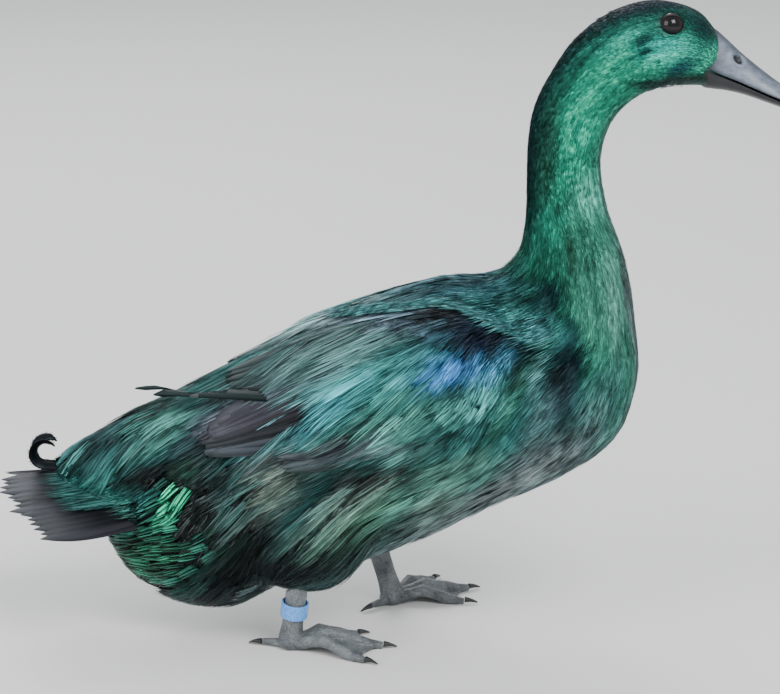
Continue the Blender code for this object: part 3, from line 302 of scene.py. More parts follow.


# One brush mark of a marking, or of painted sheen or shade: a soft ellipse whose long way falls towards the
# tail by a slope. Marks named light or sheen paint highlights, and marks named shade paint shade.
Mark = namedtuple("Mark", "name across down long wide slope colour strength", defaults=(1.0,))
NAVY = (0.004, 0.009, 0.022)
BLACK = (0.004, 0.005, 0.006)
BROWN = (0.014, 0.011, 0.012)
SLATE = (0.11, 0.16, 0.165)
DARK_TEAL = (0.022, 0.11, 0.105)
EMERALD = (0.042, 0.4, 0.26)
BRIGHT = (0.066, 0.7, 0.455)
GREEN = (0.095, 0.23, 0.16)
SILK = (0.19, 0.37, 0.35)
DARK_GREEN = (0.034, 0.12, 0.074)
BLUE = (0.11, 0.4, 0.9)
SEA_BLUE = (0.09, 0.43, 0.5)
PURPLE = (0.11, 0.11, 0.145)
PALE = (0.36, 0.42, 0.44)
MARKS = (
    # The cheek marks are painted highlight, where the sheen on the side of the head is brightest.
    Mark("cheek", 660, 48, 30, 16, 5, (0.04, 0.52, 0.43), 0.75),
    Mark("brow", 614, 41, 38, 13, 25, (0.1, 0.9, 0.64), 0.95),
    Mark("lore", 704, 30, 20, 14, -40, (0.006, 0.04, 0.04), 0.92),
    Mark("under the eye", 690, 60, 18, 12, 40, (0.022, 0.19, 0.15), 0.7),
    Mark("cheek light", 662, 59, 26, 5, 14, BRIGHT, 0.35),
    Mark("ear patch", 642, 41, 13, 6, 30, (0.004, 0.03, 0.034), 0.95),
    Mark("below the ear", 645, 52, 8, 5, 20, (0.004, 0.03, 0.034), 0.9),
    Mark("jaw", 678, 70, 18, 8, 24, (0.006, 0.045, 0.06), 0.92),
    Mark("chin", 716, 82, 24, 9, -5, BLACK, 0.97),
    Mark("chin shade", 684, 80, 36, 6, 6, BLACK, 0.92),
    Mark("throat line", 655, 84, 30, 5, 0, (0.018, 0.045, 0.04), 0.85),
    # Painted sheen and shade on the round neck: bands of highlight down its side and low on it, with strips
    # of shade beside them.
    Mark("neck shade", 548, 150, 60, 13, 88, DARK_GREEN, 0.75),
    Mark("neck light", 580, 125, 70, 17, 78, BRIGHT, 0.85),
    Mark("upper neck light", 600, 72, 40, 20, 45, BRIGHT, 0.6),
    Mark("collar rear", 546, 227, 22, 13, 80, BRIGHT, 0.95),
    Mark("collar front", 588, 202, 26, 17, 90, (0.21, 0.9, 0.68), 0.95),
    Mark("collar gap", 563, 208, 16, 6, 50, (0.03, 0.19, 0.14), 0.75),
    Mark("lower neck", 588, 262, 55, 24, 90, (0.085, 0.37, 0.27), 0.85),
    Mark("lower neck shade", 572, 255, 26, 6, 100, DARK_GREEN, 0.7),
    Mark("neck foot", 544, 306, 32, 19, 60, NAVY, 0.9),
    Mark("neck front", 592, 315, 48, 20, 95, (0.11, 0.44, 0.31), 0.85),
    Mark("neck front edge", 613, 305, 66, 10, 94, (0.19, 0.5, 0.41), 0.85),
    Mark("front edge", 628, 300, 60, 7, 97, (0.15, 0.21, 0.215), 0.85),
    Mark("breast patch", 563, 382, 50, 22, 76, NAVY, 0.95),
    Mark("breast light", 535, 358, 38, 9, 84, (0.18, 0.47, 0.47), 0.95),
    Mark("breast patch top", 566, 342, 26, 13, 80, NAVY, 0.92),
    Mark("breast scales", 600, 400, 44, 20, 62, (0.08, 0.21, 0.2), 0.8),
    Mark("breast teal", 538, 425, 42, 15, 66, (0.07, 0.15, 0.155), 0.8),
    Mark("lower breast", 530, 458, 40, 14, 30, (0.15, 0.21, 0.22), 0.85),
    Mark("breast low", 560, 455, 50, 15, 38, SLATE, 0.85),
    Mark("breast stripe", 509, 400, 56, 10, 62, (0.035, 0.15, 0.11), 0.9),
    Mark("belly pale", 500, 488, 70, 12, 27, PALE, 0.8),
    Mark("belly edge", 425, 530, 60, 9, 30, (0.24, 0.3, 0.29), 0.7),
    Mark("upper flank", 450, 470, 52, 16, 14, (0.11, 0.27, 0.215), 0.8),
    Mark("lower flank", 430, 506, 40, 12, 28, (0.19, 0.31, 0.25), 0.8),
    Mark("flank", 350, 522, 66, 26, 36, GREEN, 0.9),
    Mark("flank light", 344, 504, 42, 11, 34, (0.4, 0.62, 0.53), 0.85),
    Mark("flank shade", 372, 477, 52, 13, -4, BROWN, 0.97),
    Mark("rear flank", 250, 548, 60, 28, 50, BLACK, 0.97),
    Mark("fringe ground", 272, 481, 42, 24, 50, (0.33, 0.45, 0.38), 0.92),
    Mark("gap", 209, 500, 66, 19, 100, BLACK, 0.97),
    Mark("vent", 236, 592, 90, 26, 8, BLACK, 0.97),
    Mark("thigh", 312, 564, 84, 25, 14, BLACK, 0.98),
    Mark("rump edge", 95, 440, 80, 10, 38, (0.035, 0.08, 0.088), 0.9),
    Mark("rump", 160, 426, 48, 20, 36, (0.12, 0.37, 0.31), 0.95),
    Mark("rump shade", 112, 452, 44, 9, 28, (0.03, 0.08, 0.085), 0.85),
    # Painted shadow under the free tips of the primaries.
    Mark("under the tips", 170, 402, 46, 12, 14, (0.018, 0.04, 0.04), 0.9),
    Mark("rump band", 160, 474, 46, 14, 12, BROWN, 0.97),
    Mark("tail base", 100, 490, 60, 14, -28, (0.06, 0.25, 0.215), 0.9),
    Mark("under tail", 150, 556, 64, 34, 12, (0.016, 0.105, 0.056), 0.92),
    Mark("bright scales", 172, 500, 28, 13, 62, (0.04, 0.52, 0.26), 0.9),
    Mark("scapulars", 330, 342, 90, 20, 25, SILK, 0.85),
    Mark("scapular light", 358, 352, 50, 17, 28, (0.28, 0.58, 0.57), 0.88),
    Mark("upper back", 338, 320, 64, 10, 18, (0.3, 0.42, 0.44), 0.85),
    Mark("rear back", 256, 375, 38, 14, 30, (0.016, 0.034, 0.036), 0.92),
    Mark("scapular shade", 286, 372, 60, 8, 25, (0.06, 0.13, 0.125), 0.8),
    Mark("shoulder rear", 392, 326, 46, 13, -4, (0.17, 0.25, 0.33), 0.9),
    Mark("shoulder", 476, 340, 52, 24, -18, (0.006, 0.01, 0.032), 0.98),
    Mark("shoulder sheen", 420, 347, 30, 11, 20, (0.05, 0.15, 0.22), 0.5),
    Mark("wing front", 468, 404, 40, 24, 52, (0.11, 0.4, 0.37), 0.85),
    Mark("blue band", 444, 373, 43, 14, 8, BLUE, 0.86),
    Mark("blue-green band", 490, 371, 21, 9, 50, (0.075, 0.28, 0.44), 0.75),
    Mark("middle wing", 370, 392, 60, 26, 30, (0.12, 0.5, 0.45), 0.85),
    Mark("lower wing", 385, 428, 72, 18, 20, (0.11, 0.35, 0.29), 0.85),
    Mark("long coverts", 316, 412, 56, 18, 28, SEA_BLUE, 0.85),
    Mark("covert light", 300, 403, 32, 13, 30, (0.24, 0.62, 0.6), 0.9),
    Mark("covert tips", 280, 428, 36, 14, 34, (0.13, 0.42, 0.44), 0.9),
    Mark("wing edge", 335, 452, 76, 7, 6, (0.11, 0.11, 0.14), 0.85),
    Mark("wing edge end", 293, 456, 38, 11, 14, (0.075, 0.085, 0.095), 0.88),
    Mark("wing corner", 406, 453, 22, 9, 10, (0.14, 0.34, 0.3), 0.85),
    Mark("secondaries", 236, 418, 54, 18, 28, PURPLE, 0.9),
    Mark("tertial edge", 292, 390, 44, 7, 18, (0.15, 0.23, 0.25), 0.7),
    Mark("cape", 436, 291, 86, 16, 0, (0.036, 0.105, 0.13), 0.92),
    Mark("cape edge", 520, 325, 50, 11, -20, (0.09, 0.38, 0.36), 0.9),
    # Painted shadow in the gap under the cape's edge.
    Mark("cape gap", 428, 314, 44, 6, -10, (0.024, 0.024, 0.032), 0.92),
    Mark("cape rim", 400, 303, 56, 4, -2, (0.06, 0.16, 0.18), 0.6),
)
# Bands that follow the body instead: across is the place between rings, down the turn from the back.
BANDS = (
    Mark("crown", 3.4, 0, 2.6, 62, 0, NAVY, 0.98),
    Mark("nape", 8.0, 0, 4.6, 60, 0, NAVY, 0.97),
    Mark("throat", 5.6, 180, 4.0, 34, 0, SLATE, 0.9),
    Mark("throat foot", 11.0, 180, 3.0, 34, 0, SLATE, 0.9),
    Mark("keel", 15.6, 180, 3.2, 40, 0, SLATE, 0.9),
)


def marked(value, across, down, marks, sharpness=3):
    """Lays marks over a starting colour or number, each fading out over its reach."""
    for mark in marks:
        slope = math.radians(mark.slope)
        x, y = across - mark.across, down - mark.down
        lengthwise = (x * math.cos(slope) - y * math.sin(slope)) / mark.long
        crosswise = (x * math.sin(slope) + y * math.cos(slope)) / mark.wide
        share = mark.strength * np.exp(-(np.hypot(lengthwise, crosswise) ** sharpness))
        value = value + (np.asarray(mark.colour) - value) * share[..., None]
    return value


NECK_GREEN_ENDS = (11.0, 13.5)


def plumage_colour(points, place, turn):
    """The colour that the feathers show at points of the body: green neck, dark body, marks of colour and of
    painted sheen and shade.
    """
    place = np.asarray(place, float)
    neck = 1 - smooth_step(*NECK_GREEN_ENDS, place)[..., None]
    start = np.asarray(EMERALD) * neck + np.asarray(DARK_TEAL) * (1 - neck)
    banded = marked(marked(start, *side_view(points), MARKS), place, np.abs(turn), BANDS)
    return np.clip(banded, 0, 1)


def numbered(start, points, marks, sharpness=3):
    """A number for each point, as the marks say for its place in the side view."""
    number = np.full(points.shape[:-1] + (1,), start)
    return marked(number, *side_view(points), marks, sharpness)[..., 0]


# The lie of the feathers in the same view: degrees by which their tips point below straight rearwards.
PLAIN_LIE = 25.0
NECK_LIE_ENDS = (11.0, 13.0)
LIES = (
    Mark("breast front", 610, 400, 60, 40, 70, 72, 0.9),
    Mark("breast", 545, 410, 60, 40, 62, 50),
    Mark("lower breast", 540, 455, 60, 30, 30, 36),
    Mark("cape", 460, 295, 90, 26, 0, 16),
    Mark("cape front", 540, 320, 40, 24, -20, 26),
    Mark("scapulars", 330, 340, 130, 40, 22, 25),
    Mark("shoulder", 480, 360, 46, 40, 20, 60),
    Mark("blue band", 430, 380, 36, 34, 20, 48),
    Mark("middle wing", 370, 400, 50, 36, 25, 34),
    Mark("wing front", 485, 420, 30, 30, 60, 58),
    Mark("lower wing", 400, 440, 60, 20, 15, 28),
    Mark("covert tips", 270, 435, 50, 26, 30, 40),
    Mark("belly", 480, 490, 80, 24, 25, 24),
    Mark("flank", 350, 515, 70, 40, 30, 42),
    Mark("rear flank", 265, 530, 50, 60, 60, 56),
    Mark("vent", 235, 585, 60, 36, 20, 62),
    Mark("gap", 200, 500, 30, 50, 60, 50),
    Mark("rump", 140, 430, 80, 34, 38, 46),
    Mark("rump band", 140, 475, 60, 16, 10, 24),
    Mark("tail base", 90, 488, 60, 20, -20, 2),
    Mark("under tail", 150, 555, 60, 34, 15, 20),
)


def feather_lie(points, out, along, place):
    """Rearwards along the neck, and as the marks say on the body."""
    angle = np.radians(numbered(PLAIN_LIE, points, LIES))
    drawn = np.stack([-np.cos(angle), np.zeros_like(angle), -np.sin(angle)], axis=-1)
    drawn = drawn - out * (drawn * out).sum(-1, keepdims=True)
    share = smooth_step(*NECK_LIE_ENDS, place)[..., None]
    return unit(along * (1 - share) + drawn * share)


FIELD_PARTS = {"FLOAT": "value", "FLOAT_COLOR": "color"}
FIELD_KINDS = {1: "FLOAT", 3: "FLOAT_VECTOR", 4: "FLOAT_COLOR"}


def set_attribute(mesh, name, values, kind, domain="POINT"):
    if name in mesh.attributes:
        mesh.attributes.remove(mesh.attributes[name])
    attribute = mesh.attributes.new(name, kind, domain)
    values = np.asarray(values, np.float32).ravel()
    attribute.data.foreach_set(FIELD_PARTS.get(kind, "vector"), values)


def set_fields(mesh, **fields):
    """Writes numbers, vectors or colours on a mesh's points. One alone goes on every point."""
    count = len(mesh.vertices)
    for name, values in fields.items():
        values = np.asarray(values, np.float32)
        if values.ndim < 2 and values.size < count:
            values = np.tile(values, (count, 1))
        set_attribute(mesh, name, values, FIELD_KINDS[values.size // count])


def tube_faces(rows, columns):
    """Faces of a tube of points in rows, with its two ends closed."""
    index = np.arange(rows * columns).reshape(rows, columns)
    after = np.roll(index, -1, 1)
    quads = np.stack([index[:-1], index[1:], after[1:], after[:-1]], axis=-1).reshape(-1, 4)
    return quads.tolist() + [index[0].tolist(), index[-1][::-1].tolist()]


def placed(name, data):
    """A new object at the origin, in the scene."""
    made = bpy.data.objects.new(name, data)
    bpy.context.scene.collection.objects.link(made)
    return made


def new_piece(name, points, faces, smooth=True):
    mesh = bpy.data.meshes.new(name)
    mesh.from_pydata(np.asarray(points, float).reshape(-1, 3).tolist(), [], faces)
    if smooth:
        mesh.shade_smooth()
    return placed(name, mesh)


def bake_place(place, turn):
    """The body unrolled: round it from left to right, and along it from bottom to top."""
    along = np.asarray(place) / LAST_RING + np.zeros(np.shape(turn))
    return np.stack([np.asarray(turn) / 360 + 0.5, along], axis=-1)


def skin_map(mesh):
    """Writes the unrolled body as the skin's own map, with a straight seam down the belly."""
    corners = np.zeros(len(mesh.loops), np.int32)
    mesh.loops.foreach_get("vertex_index", corners)
    flat = bake_place(skin_place, skin_turn).reshape(-1, 2)[corners]
    quads = SKIN_ROWS * SKIN_COLUMNS
    face_corners = flat[: quads * 4].reshape(quads, 4, 2)
    over_seam = np.ptp(face_corners[..., 0], axis=1) > 0.5
    wrapped = face_corners[over_seam]
    wrapped[..., 0] = np.where(wrapped[..., 0] < 0.5, wrapped[..., 0] + 1, wrapped[..., 0])
    face_corners[over_seam] = wrapped
    flat[: quads * 4] = face_corners.reshape(-1, 2)
    set_attribute(mesh, "OFBake", flat, "FLOAT2", "CORNER")


skin = new_piece("skin", skin_points, tube_faces(SKIN_ROWS + 1, SKIN_COLUMNS))
skin_map(skin.data)
LOCK_STEP = 0.003
BODY_START = (11.5, 13.5)
LOCK_ROUNDS = 26
LOCK_TURN = math.radians(7.0)
lock_draw = np.random.default_rng(7)
plain_lie = feather_lie(skin_points, skin_out, skin_along, skin_place)
locks, parting = (
    combed(lock_draw.normal(size=skin_place.shape), plain_lie, LOCK_STEP, LOCK_ROUNDS) for _ in range(2)
)
on_body = smooth_step(*BODY_START, skin_place)
part_turn = (parting * on_body * LOCK_TURN)[..., None]
skin_flow = unit(plain_lie + np.cross(skin_out, plain_lie) * part_turn)
side_share = np.sin(np.radians(skin_turn))
set_fields(skin.data, out=skin_out, flow=skin_flow, place=skin_place, side=side_share)
LOCK_SHADE = 0.5
NECK_LIVELY = 0.45
DEEP_LOCKS = 1.6
MOST_LOCK = 2.0
GAP_SHARPNESS = 8


def dye_skin(reach, shade_marks=()):
    """Dyes the skin as the plumage shows it a reach further along the feathers, darkened by marks as painted
    shade.
    """
    shown = skin_points + skin_flow * np.asarray(reach)[..., None]
    # Painted light and shade by lock, over random tone: some combed locks are brighter, as sheen on them,
    # and deep ones darker, as shade in the gaps between them.
    depth = np.where(locks < 0, DEEP_LOCKS, 1.0) * locks.clip(-MOST_LOCK, MOST_LOCK)
    lively = np.exp(LOCK_SHADE * depth * between(NECK_LIVELY, 1, on_body))
    painted_gap_shade = numbered(0.0, shown, shade_marks, GAP_SHARPNESS)[..., None]
    tint = plumage_colour(shown, skin_place, skin_turn) * lively[..., None] * (1 - painted_gap_shade)
    set_fields(skin.data, tint=np.concatenate([tint, np.ones(tint.shape[:-1] + (1,))], -1))


def fill(made, tree, inputs):
    """Sets or joins a node's inputs, by name or by number."""
    for key, value in inputs.items():
        if isinstance(value, bpy.types.NodeSocket):
            tree.links.new(value, made.inputs[key])
        else:
            made.inputs[key].default_value = value


def node(tree, kind, inputs=(), **settings):
    """Adds a node, sets it up, and fills its inputs."""
    made = tree.nodes.new(kind)
    for name, value in settings.items():
        setattr(made, name, value)
    fill(made, tree, dict(inputs))
    return made


def maths(tree, operation, *values):
    """One step of arithmetic in a tree, on numbers or sockets."""
    return node(tree, "ShaderNodeMath", dict(enumerate(values)), operation=operation).outputs[0]


def vector_maths(tree, operation, *values):
    made = node(tree, "ShaderNodeVectorMath", dict(enumerate(values)), operation=operation)
    return made.outputs["Value" if operation == "DOT_PRODUCT" else "Vector"]


def scaled(tree, vector, share):
    inputs = {0: vector, "Scale": share}
    return node(tree, "ShaderNodeVectorMath", inputs, operation="SCALE").outputs[0]


def attribute(tree, name, output="Fac"):
    return node(tree, "ShaderNodeAttribute", attribute_name=name).outputs[output]


def noise(tree, place, scale, detail, roughness=0.5):
    inputs = {"Vector": place, "Scale": scale, "Detail": detail, "Roughness": roughness}
    return node(tree, "ShaderNodeTexNoise", inputs).outputs["Fac"]


def cells(tree, place, scale, feature="F1"):
    """How far a place lies from the middle, or the edge, of small cells."""
    inputs = {"Vector": place, "Scale": scale}
    return node(tree, "ShaderNodeTexVoronoi", inputs, feature=feature).outputs["Distance"]


def bumps(tree, height, strength, distance):
    inputs = {"Height": height, "Strength": strength, "Distance": distance}
    return node(tree, "ShaderNodeBump", inputs).outputs[0]


def blank_material(name):
    """A new material, its tree, and the place on the object that its patterns hang on."""
    made = bpy.data.materials.new(name)
    made.use_nodes = True
    return made, made.node_tree, node(made.node_tree, "ShaderNodeTexCoord").outputs["Object"]


def finished_material(made, inputs):
    fill(made.node_tree.nodes["Principled BSDF"], made.node_tree, inputs)
    return made


SKIN_ROUGHNESS = 0.75
SKIN_SHADE = 0.35
PIT_DEPTH = 0.0006


def skin_material():
    """Dyed skin: the feathers' own colour, darkened as painted shade under the feathers, mottled, and finely
    pitted where quills sit.
    """
    made, tree, place = blank_material("dyed_skin")
    mottle = noise(tree, place, 180.0, 4.0)
    shade = maths(tree, "MULTIPLY_ADD", mottle, SKIN_SHADE, SKIN_SHADE * 0.6)
    colour = vector_maths(tree, "MULTIPLY", attribute(tree, "tint", "Color"), shade)
    pits = bumps(tree, cells(tree, place, 420.0), 0.5, PIT_DEPTH)
    return finished_material(made, {"Base Color": colour, "Normal": pits, "Roughness": SKIN_ROUGHNESS})


skin.data.materials.append(skin_material())
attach(skin, "root")
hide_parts("head", "neck", "torso", "tail", "thigh_left", "thigh_right")


# The body feathers. Each is a small vane with a stiff middle and loose, hairy barbs at its end. They
# are set in the skin from the tail forward, so that each lies over the roots of the next, and they
# follow the body closely. On the head they are tiny and on the rump they are long.
Shape = namedtuple("Shape", "widths thickness droop strands strand_length strand_width")
FACE_SHAPE = Shape(((0, 0.3), (0.5, 0.5)), 0.16, 0.3, 0, 0, 0)
VANE_SHADE = 0.45
BODY_SHAPE = Shape(((0, 0.16), (0.25, 0.4), (0.55, 0.5), (0.8, 0.34)), 0.1, 0.22, 9, 0.36, 0.11)
LOOSE_SHAPE = Shape(((0, 0.12), (0.3, 0.3), (0.6, 0.34), (0.8, 0.2)), 0.1, 0.2, 11, 0.5, 0.1)
STRAND_HEIGHTS = (0.84, 0.34)


def feather_pattern(name, shape, draw):
    """One feather of length and width 1 along +Y, with its tip raised to a height of 1.

    Its cross-section is a flat roof with its ridge along the shaft. Strands leave its margin near
    the end and point forward.
    """
    bm, strand = new_pattern()

    def point(x, y, droop=1, lift=0.0, over=0.0):
        height = min(y, 1.2) ** 1.25 - shape.droop * abs(x) * droop + lift + over
        return bm.verts.new((x, y, height))

    ends, halves = zip(*shape.widths)
    rows = [[point(-half, y), point(0, y, over=shape.thickness), point(half, y)] for y, half in shape.widths]
    close_tube(bm, rows, point(0, 1))
    for vertex in bm.verts:
        vertex[strand] = VANE_SHADE
    for number in range(shape.strands):
        across = (number + 0.5) / shape.strands * 2 - 1
        y = STRAND_HEIGHTS[0] - STRAND_HEIGHTS[1] * abs(across) ** 1.5 + draw.uniform(-0.03, 0.03)
        half = np.interp(y, ends, halves) if y < ends[-1] else halves[-1] * 0.6
        x, wide = across * half * 0.9, shape.strand_width / 2
        reach = shape.strand_length * draw.uniform(0.7, 1.15)
        tip_x = x + reach * (across * 0.45 + draw.uniform(-0.12, 0.12))
        lift = draw.uniform(-0.04, 0.1)
        low = [point(x - wide, y, 2, lift), point(x + wide, y, 2, lift)]
        corners = (*low, point(x, y, 2, lift, shape.thickness), point(tip_x, y + reach, 1, lift))
        add_spike(bm, strand, corners, draw.random())
    return finished_pattern(name, bm)


def close_tube(bm, rows, tip):
    """Joins rows of points into a tube that is closed behind and ends in a tip."""
    last, count = rows[-1], len(rows[-1])
    for row, after in zip(rows[:-1], rows[1:]):
        for i in range(count):
            j = (i + 1) % count
            bm.faces.new((row[i], row[j], after[j], after[i]))
    bm.faces.new(rows[0])
    for i in range(count):
        bm.faces.new((last[i], last[(i + 1) % count], tip))


SPIKE_FACES = ((0, 1, 3), (1, 2, 3), (2, 0, 3), (1, 0, 2))


def add_spike(bm, strand, corners, shade):
    """A thin three-sided spike over four corners, the last of them its tip."""
    for vertex in corners:
        vertex[strand] = shade
    for face in SPIKE_FACES:
        bm.faces.new([corners[i] for i in face])


def new_pattern():
    """A mesh to build a pattern in. Its points carry the shade of their own strand."""
    bm = bmesh.new()
    return bm, bm.verts.layers.float.new("strand")


def finished_pattern(name, bm):
    """Closes a pattern's making: outward faces, smooth shade, and its own flat map."""
    flat_place = bm.loops.layers.uv.new("vane")
    bmesh.ops.recalc_face_normals(bm, faces=bm.faces)
    for face in bm.faces:
        face.smooth = True
        for loop in face.loops:
            loop[flat_place].uv = (loop.vert.co.x + 0.5, loop.vert.co.y / 1.5)
    mesh = bpy.data.meshes.new(name)
    bm.to_mesh(mesh)
    bm.free()
    return bpy.data.objects.new(name, mesh)


def pattern_group(name, make, shape, count, seed):
    """A few unlike feathers of one shape, for the tree to pick from."""
    draw = np.random.default_rng(seed)
    group = bpy.data.collections.new(name)
    for number in range(count):
        group.objects.link(make(f"{name}_{number}", shape, draw))
    return group


def field(tree, name, kind="FLOAT"):
    made = node(tree, "GeometryNodeInputNamedAttribute", {"Name": name}, data_type=kind)
    return made.outputs["Attribute"]


def stored(tree, geometry, name, value, kind="FLOAT", domain="POINT"):
    inputs = {"Geometry": geometry, "Name": name, "Value": value}
    made = node(tree, "GeometryNodeStoreNamedAttribute", inputs, data_type=kind, domain=domain)
    return made.outputs["Geometry"]


def random_between(tree, low, high, seed):
    inputs = {"Min": low, "Max": high, "Seed": seed}
    return node(tree, "FunctionNodeRandomValue", inputs, data_type="FLOAT").outputs["Value"]


def compared(tree, first, second, operation="GREATER_THAN"):
    return node(tree, "FunctionNodeCompare", {0: first, 1: second}, operation=operation).outputs[0]


def both(tree, first, second):
    return node(tree, "FunctionNodeBooleanMath", {0: first, 1: second}).outputs[0]


def switched(tree, kind, switch, off, on):
    inputs = {"Switch": switch, "False": off, "True": on}
    return node(tree, "GeometryNodeSwitch", inputs, input_type=kind).outputs[0]


def aligned(tree, way, axis, pivot, **start):
    """A turn that points one axis along a way."""
    kind = "FunctionNodeAlignRotationToVector"
    return node(tree, kind, {"Vector": way, **start}, axis=axis, pivot_axis=pivot).outputs[0]


BAKE_PATCH = 0.003
SEARCH = 0.03
DEEPEST = 0.012
MOST_ROOTS = 4e6
MIDLINE = -1e-6
SIDEWAYS_SHARE = 0.3
GROWTH_SHARE = 1.8
FEATHER_INPUTS = {
    "Roots": "Geometry",
    "Under": "Object",
    "Patterns": "Collection",
    "Scattered": "Bool",
    "Spacing": "Float",
    "First place": "Float",
    "Last place": "Float",
    "Side": "Float",
    "Unevenness": "Float",
    "Seed": "Int",
    "Finish": "Material",
}


def feather_roots(tree, given):
    """Points for the roots, each with its own place and number: scattered ones, or those given."""
    place, side = field(tree, "place"), field(tree, "side")
    in_part = both(
        tree,
        compared(tree, place, given["First place"]),
        compared(tree, place, given["Last place"], "LESS_THAN"),
    )
    on_side = compared(tree, maths(tree, "MULTIPLY", side, given["Side"]), MIDLINE)
    inputs = {
        "Mesh": given["Roots"],
        "Selection": both(tree, in_part, on_side),
        "Distance Min": given["Spacing"],
        "Density Max": MOST_ROOTS,
        "Density Factor": field(tree, "cover"),
        "Seed": given["Seed"],
    }
    kind = "GeometryNodeDistributePointsOnFaces"
    scattered = node(tree, kind, inputs, distribute_method="POISSON").outputs["Points"]
    single = node(tree, "GeometryNodeMeshToPoints", {"Mesh": given["Roots"]}).outputs[0]
    points = switched(tree, "GEOMETRY", given["Scattered"], single, scattered)
    position = node(tree, "GeometryNodeInputPosition").outputs[0]
    points = stored(tree, points, "root", position, "FLOAT_VECTOR")
    return stored(tree, points, "own", random_between(tree, 0.0, 1.0, 3))


def grown_feathers(tree, given, points):
    """A feather on each root, turned the way that it lies there and sized as the root says."""
    uneven = given["Unevenness"]
    opposite = maths(tree, "MULTIPLY", uneven, -1.0)
    standing = aligned(tree, field(tree, "out", "FLOAT_VECTOR"), "Z", "AUTO")
    lying = aligned(tree, field(tree, "flow", "FLOAT_VECTOR"), "Y", "Z", Rotation=standing)
    sideways = maths(tree, "MULTIPLY", random_between(tree, opposite, uneven, 5), SIDEWAYS_SHARE)
    rolled = maths(tree, "ADD", random_between(tree, opposite, uneven, 6), field(tree, "roll"))
    turned = random_between(tree, opposite, uneven, 7)
    wander = node(tree, "ShaderNodeCombineXYZ", {"X": sideways, "Y": rolled, "Z": turned}).outputs[0]
    inputs = {"Rotation": lying, "Rotate By": wander}
    rotation = node(tree, "FunctionNodeRotateRotation", inputs, rotation_space="LOCAL").outputs[0]
    growth = maths(tree, "MULTIPLY_ADD", random_between(tree, opposite, uneven, 9), GROWTH_SHARE, 1.0)
    inputs = {"Collection": given["Patterns"], "Separate Children": True, "Reset Children": True}
    patterns = node(tree, "GeometryNodeCollectionInfo", inputs).outputs[0]
    inputs = {
        "Points": points,
        "Instance": patterns,
        "Pick Instance": True,
        "Rotation": rotation,
        "Scale": scaled(tree, field(tree, "size", "FLOAT_VECTOR"), growth),
    }
    feathers = node(tree, "GeometryNodeInstanceOnPoints", inputs).outputs[0]
    return node(tree, "GeometryNodeRealizeInstances", {"Geometry": feathers}).outputs[0]


def settled_place(tree, given):
    """Each point's place over what lies under it: along the way out, or else over the nearest part."""
    position = node(tree, "GeometryNodeInputPosition").outputs[0]
    out, lift = field(tree, "out", "FLOAT_VECTOR"), field(tree, "lift")
    from_root = vector_maths(tree, "SUBTRACT", position, field(tree, "root", "FLOAT_VECTOR"))
    height = vector_maths(tree, "DOT_PRODUCT", from_root, out)
    start = scaled(tree, out, maths(tree, "SUBTRACT", SEARCH, height))
    inputs = {"Object": given["Under"]}
    under = node(tree, "GeometryNodeObjectInfo", inputs, transform_space="RELATIVE").outputs["Geometry"]
    inputs = {
        "Target Geometry": under,
        "Source Position": vector_maths(tree, "ADD", position, start),
        "Ray Direction": vector_maths(tree, "MULTIPLY", out, (-1.0, -1.0, -1.0)),
        "Ray Length": SEARCH * 2,
    }
    hit = node(tree, "GeometryNodeRaycast", inputs).outputs
    raised = scaled(tree, hit["Hit Normal"], maths(tree, "ADD", height, lift))
    on_surface = vector_maths(tree, "ADD", hit["Hit Position"], raised)
    inputs = {"Geometry": under, "Sample Position": position}
    nearest = node(tree, "GeometryNodeProximity", inputs).outputs["Position"]
    away = vector_maths(tree, "NORMALIZE", vector_maths(tree, "SUBTRACT", position, nearest))
    beside = vector_maths(tree, "ADD", nearest, scaled(tree, away, lift))
    near_enough = compared(tree, hit["Hit Distance"], SEARCH + DEEPEST, "LESS_THAN")
    return switched(tree, "VECTOR", both(tree, hit["Is Hit"], near_enough), beside, on_surface)


def feather_tree():
    """Feathers laid on a surface, either scattered over it or one at each given root."""
    tree = bpy.data.node_groups.new("laid feathers", "GeometryNodeTree")
    tree.is_modifier = True
    for name, kind in FEATHER_INPUTS.items():
        tree.interface.new_socket(name, in_out="INPUT", socket_type="NodeSocket" + kind)
    tree.interface.new_socket("Feathers", in_out="OUTPUT", socket_type="NodeSocketGeometry")
    given = node(tree, "NodeGroupInput").outputs
    laid = grown_feathers(tree, given, feather_roots(tree, given))
    inputs = {"Geometry": laid, "Position": settled_place(tree, given)}
    laid = node(tree, "GeometryNodeSetPosition", inputs).outputs[0]
    patch = vector_maths(tree, "MULTIPLY", field(tree, "vane", "FLOAT_VECTOR"), (BAKE_PATCH,) * 3)
    unrolled = vector_maths(tree, "ADD", field(tree, "OFBake", "FLOAT_VECTOR"), patch)
    laid = stored(tree, laid, "OFBake", unrolled, "FLOAT2", "CORNER")
    inputs = {"Geometry": laid, "Material": given["Finish"]}
    finished = node(tree, "GeometryNodeSetMaterial", inputs).outputs[0]
    node(tree, "NodeGroupOutput", {"Feathers": finished})
    return tree


lay_feathers = feather_tree()
SCRATCH_FIELDS = ("root", "out", "flow", "size", "lift", "roll", "side", "cover", "place", "id")


def socket_of(name):
    """The name by which the modifier knows one of the tree's inputs."""
    sockets = lay_feathers.interface.items_tree
    return next(item.identifier for item in sockets if item.name == name and item.in_out == "INPUT")


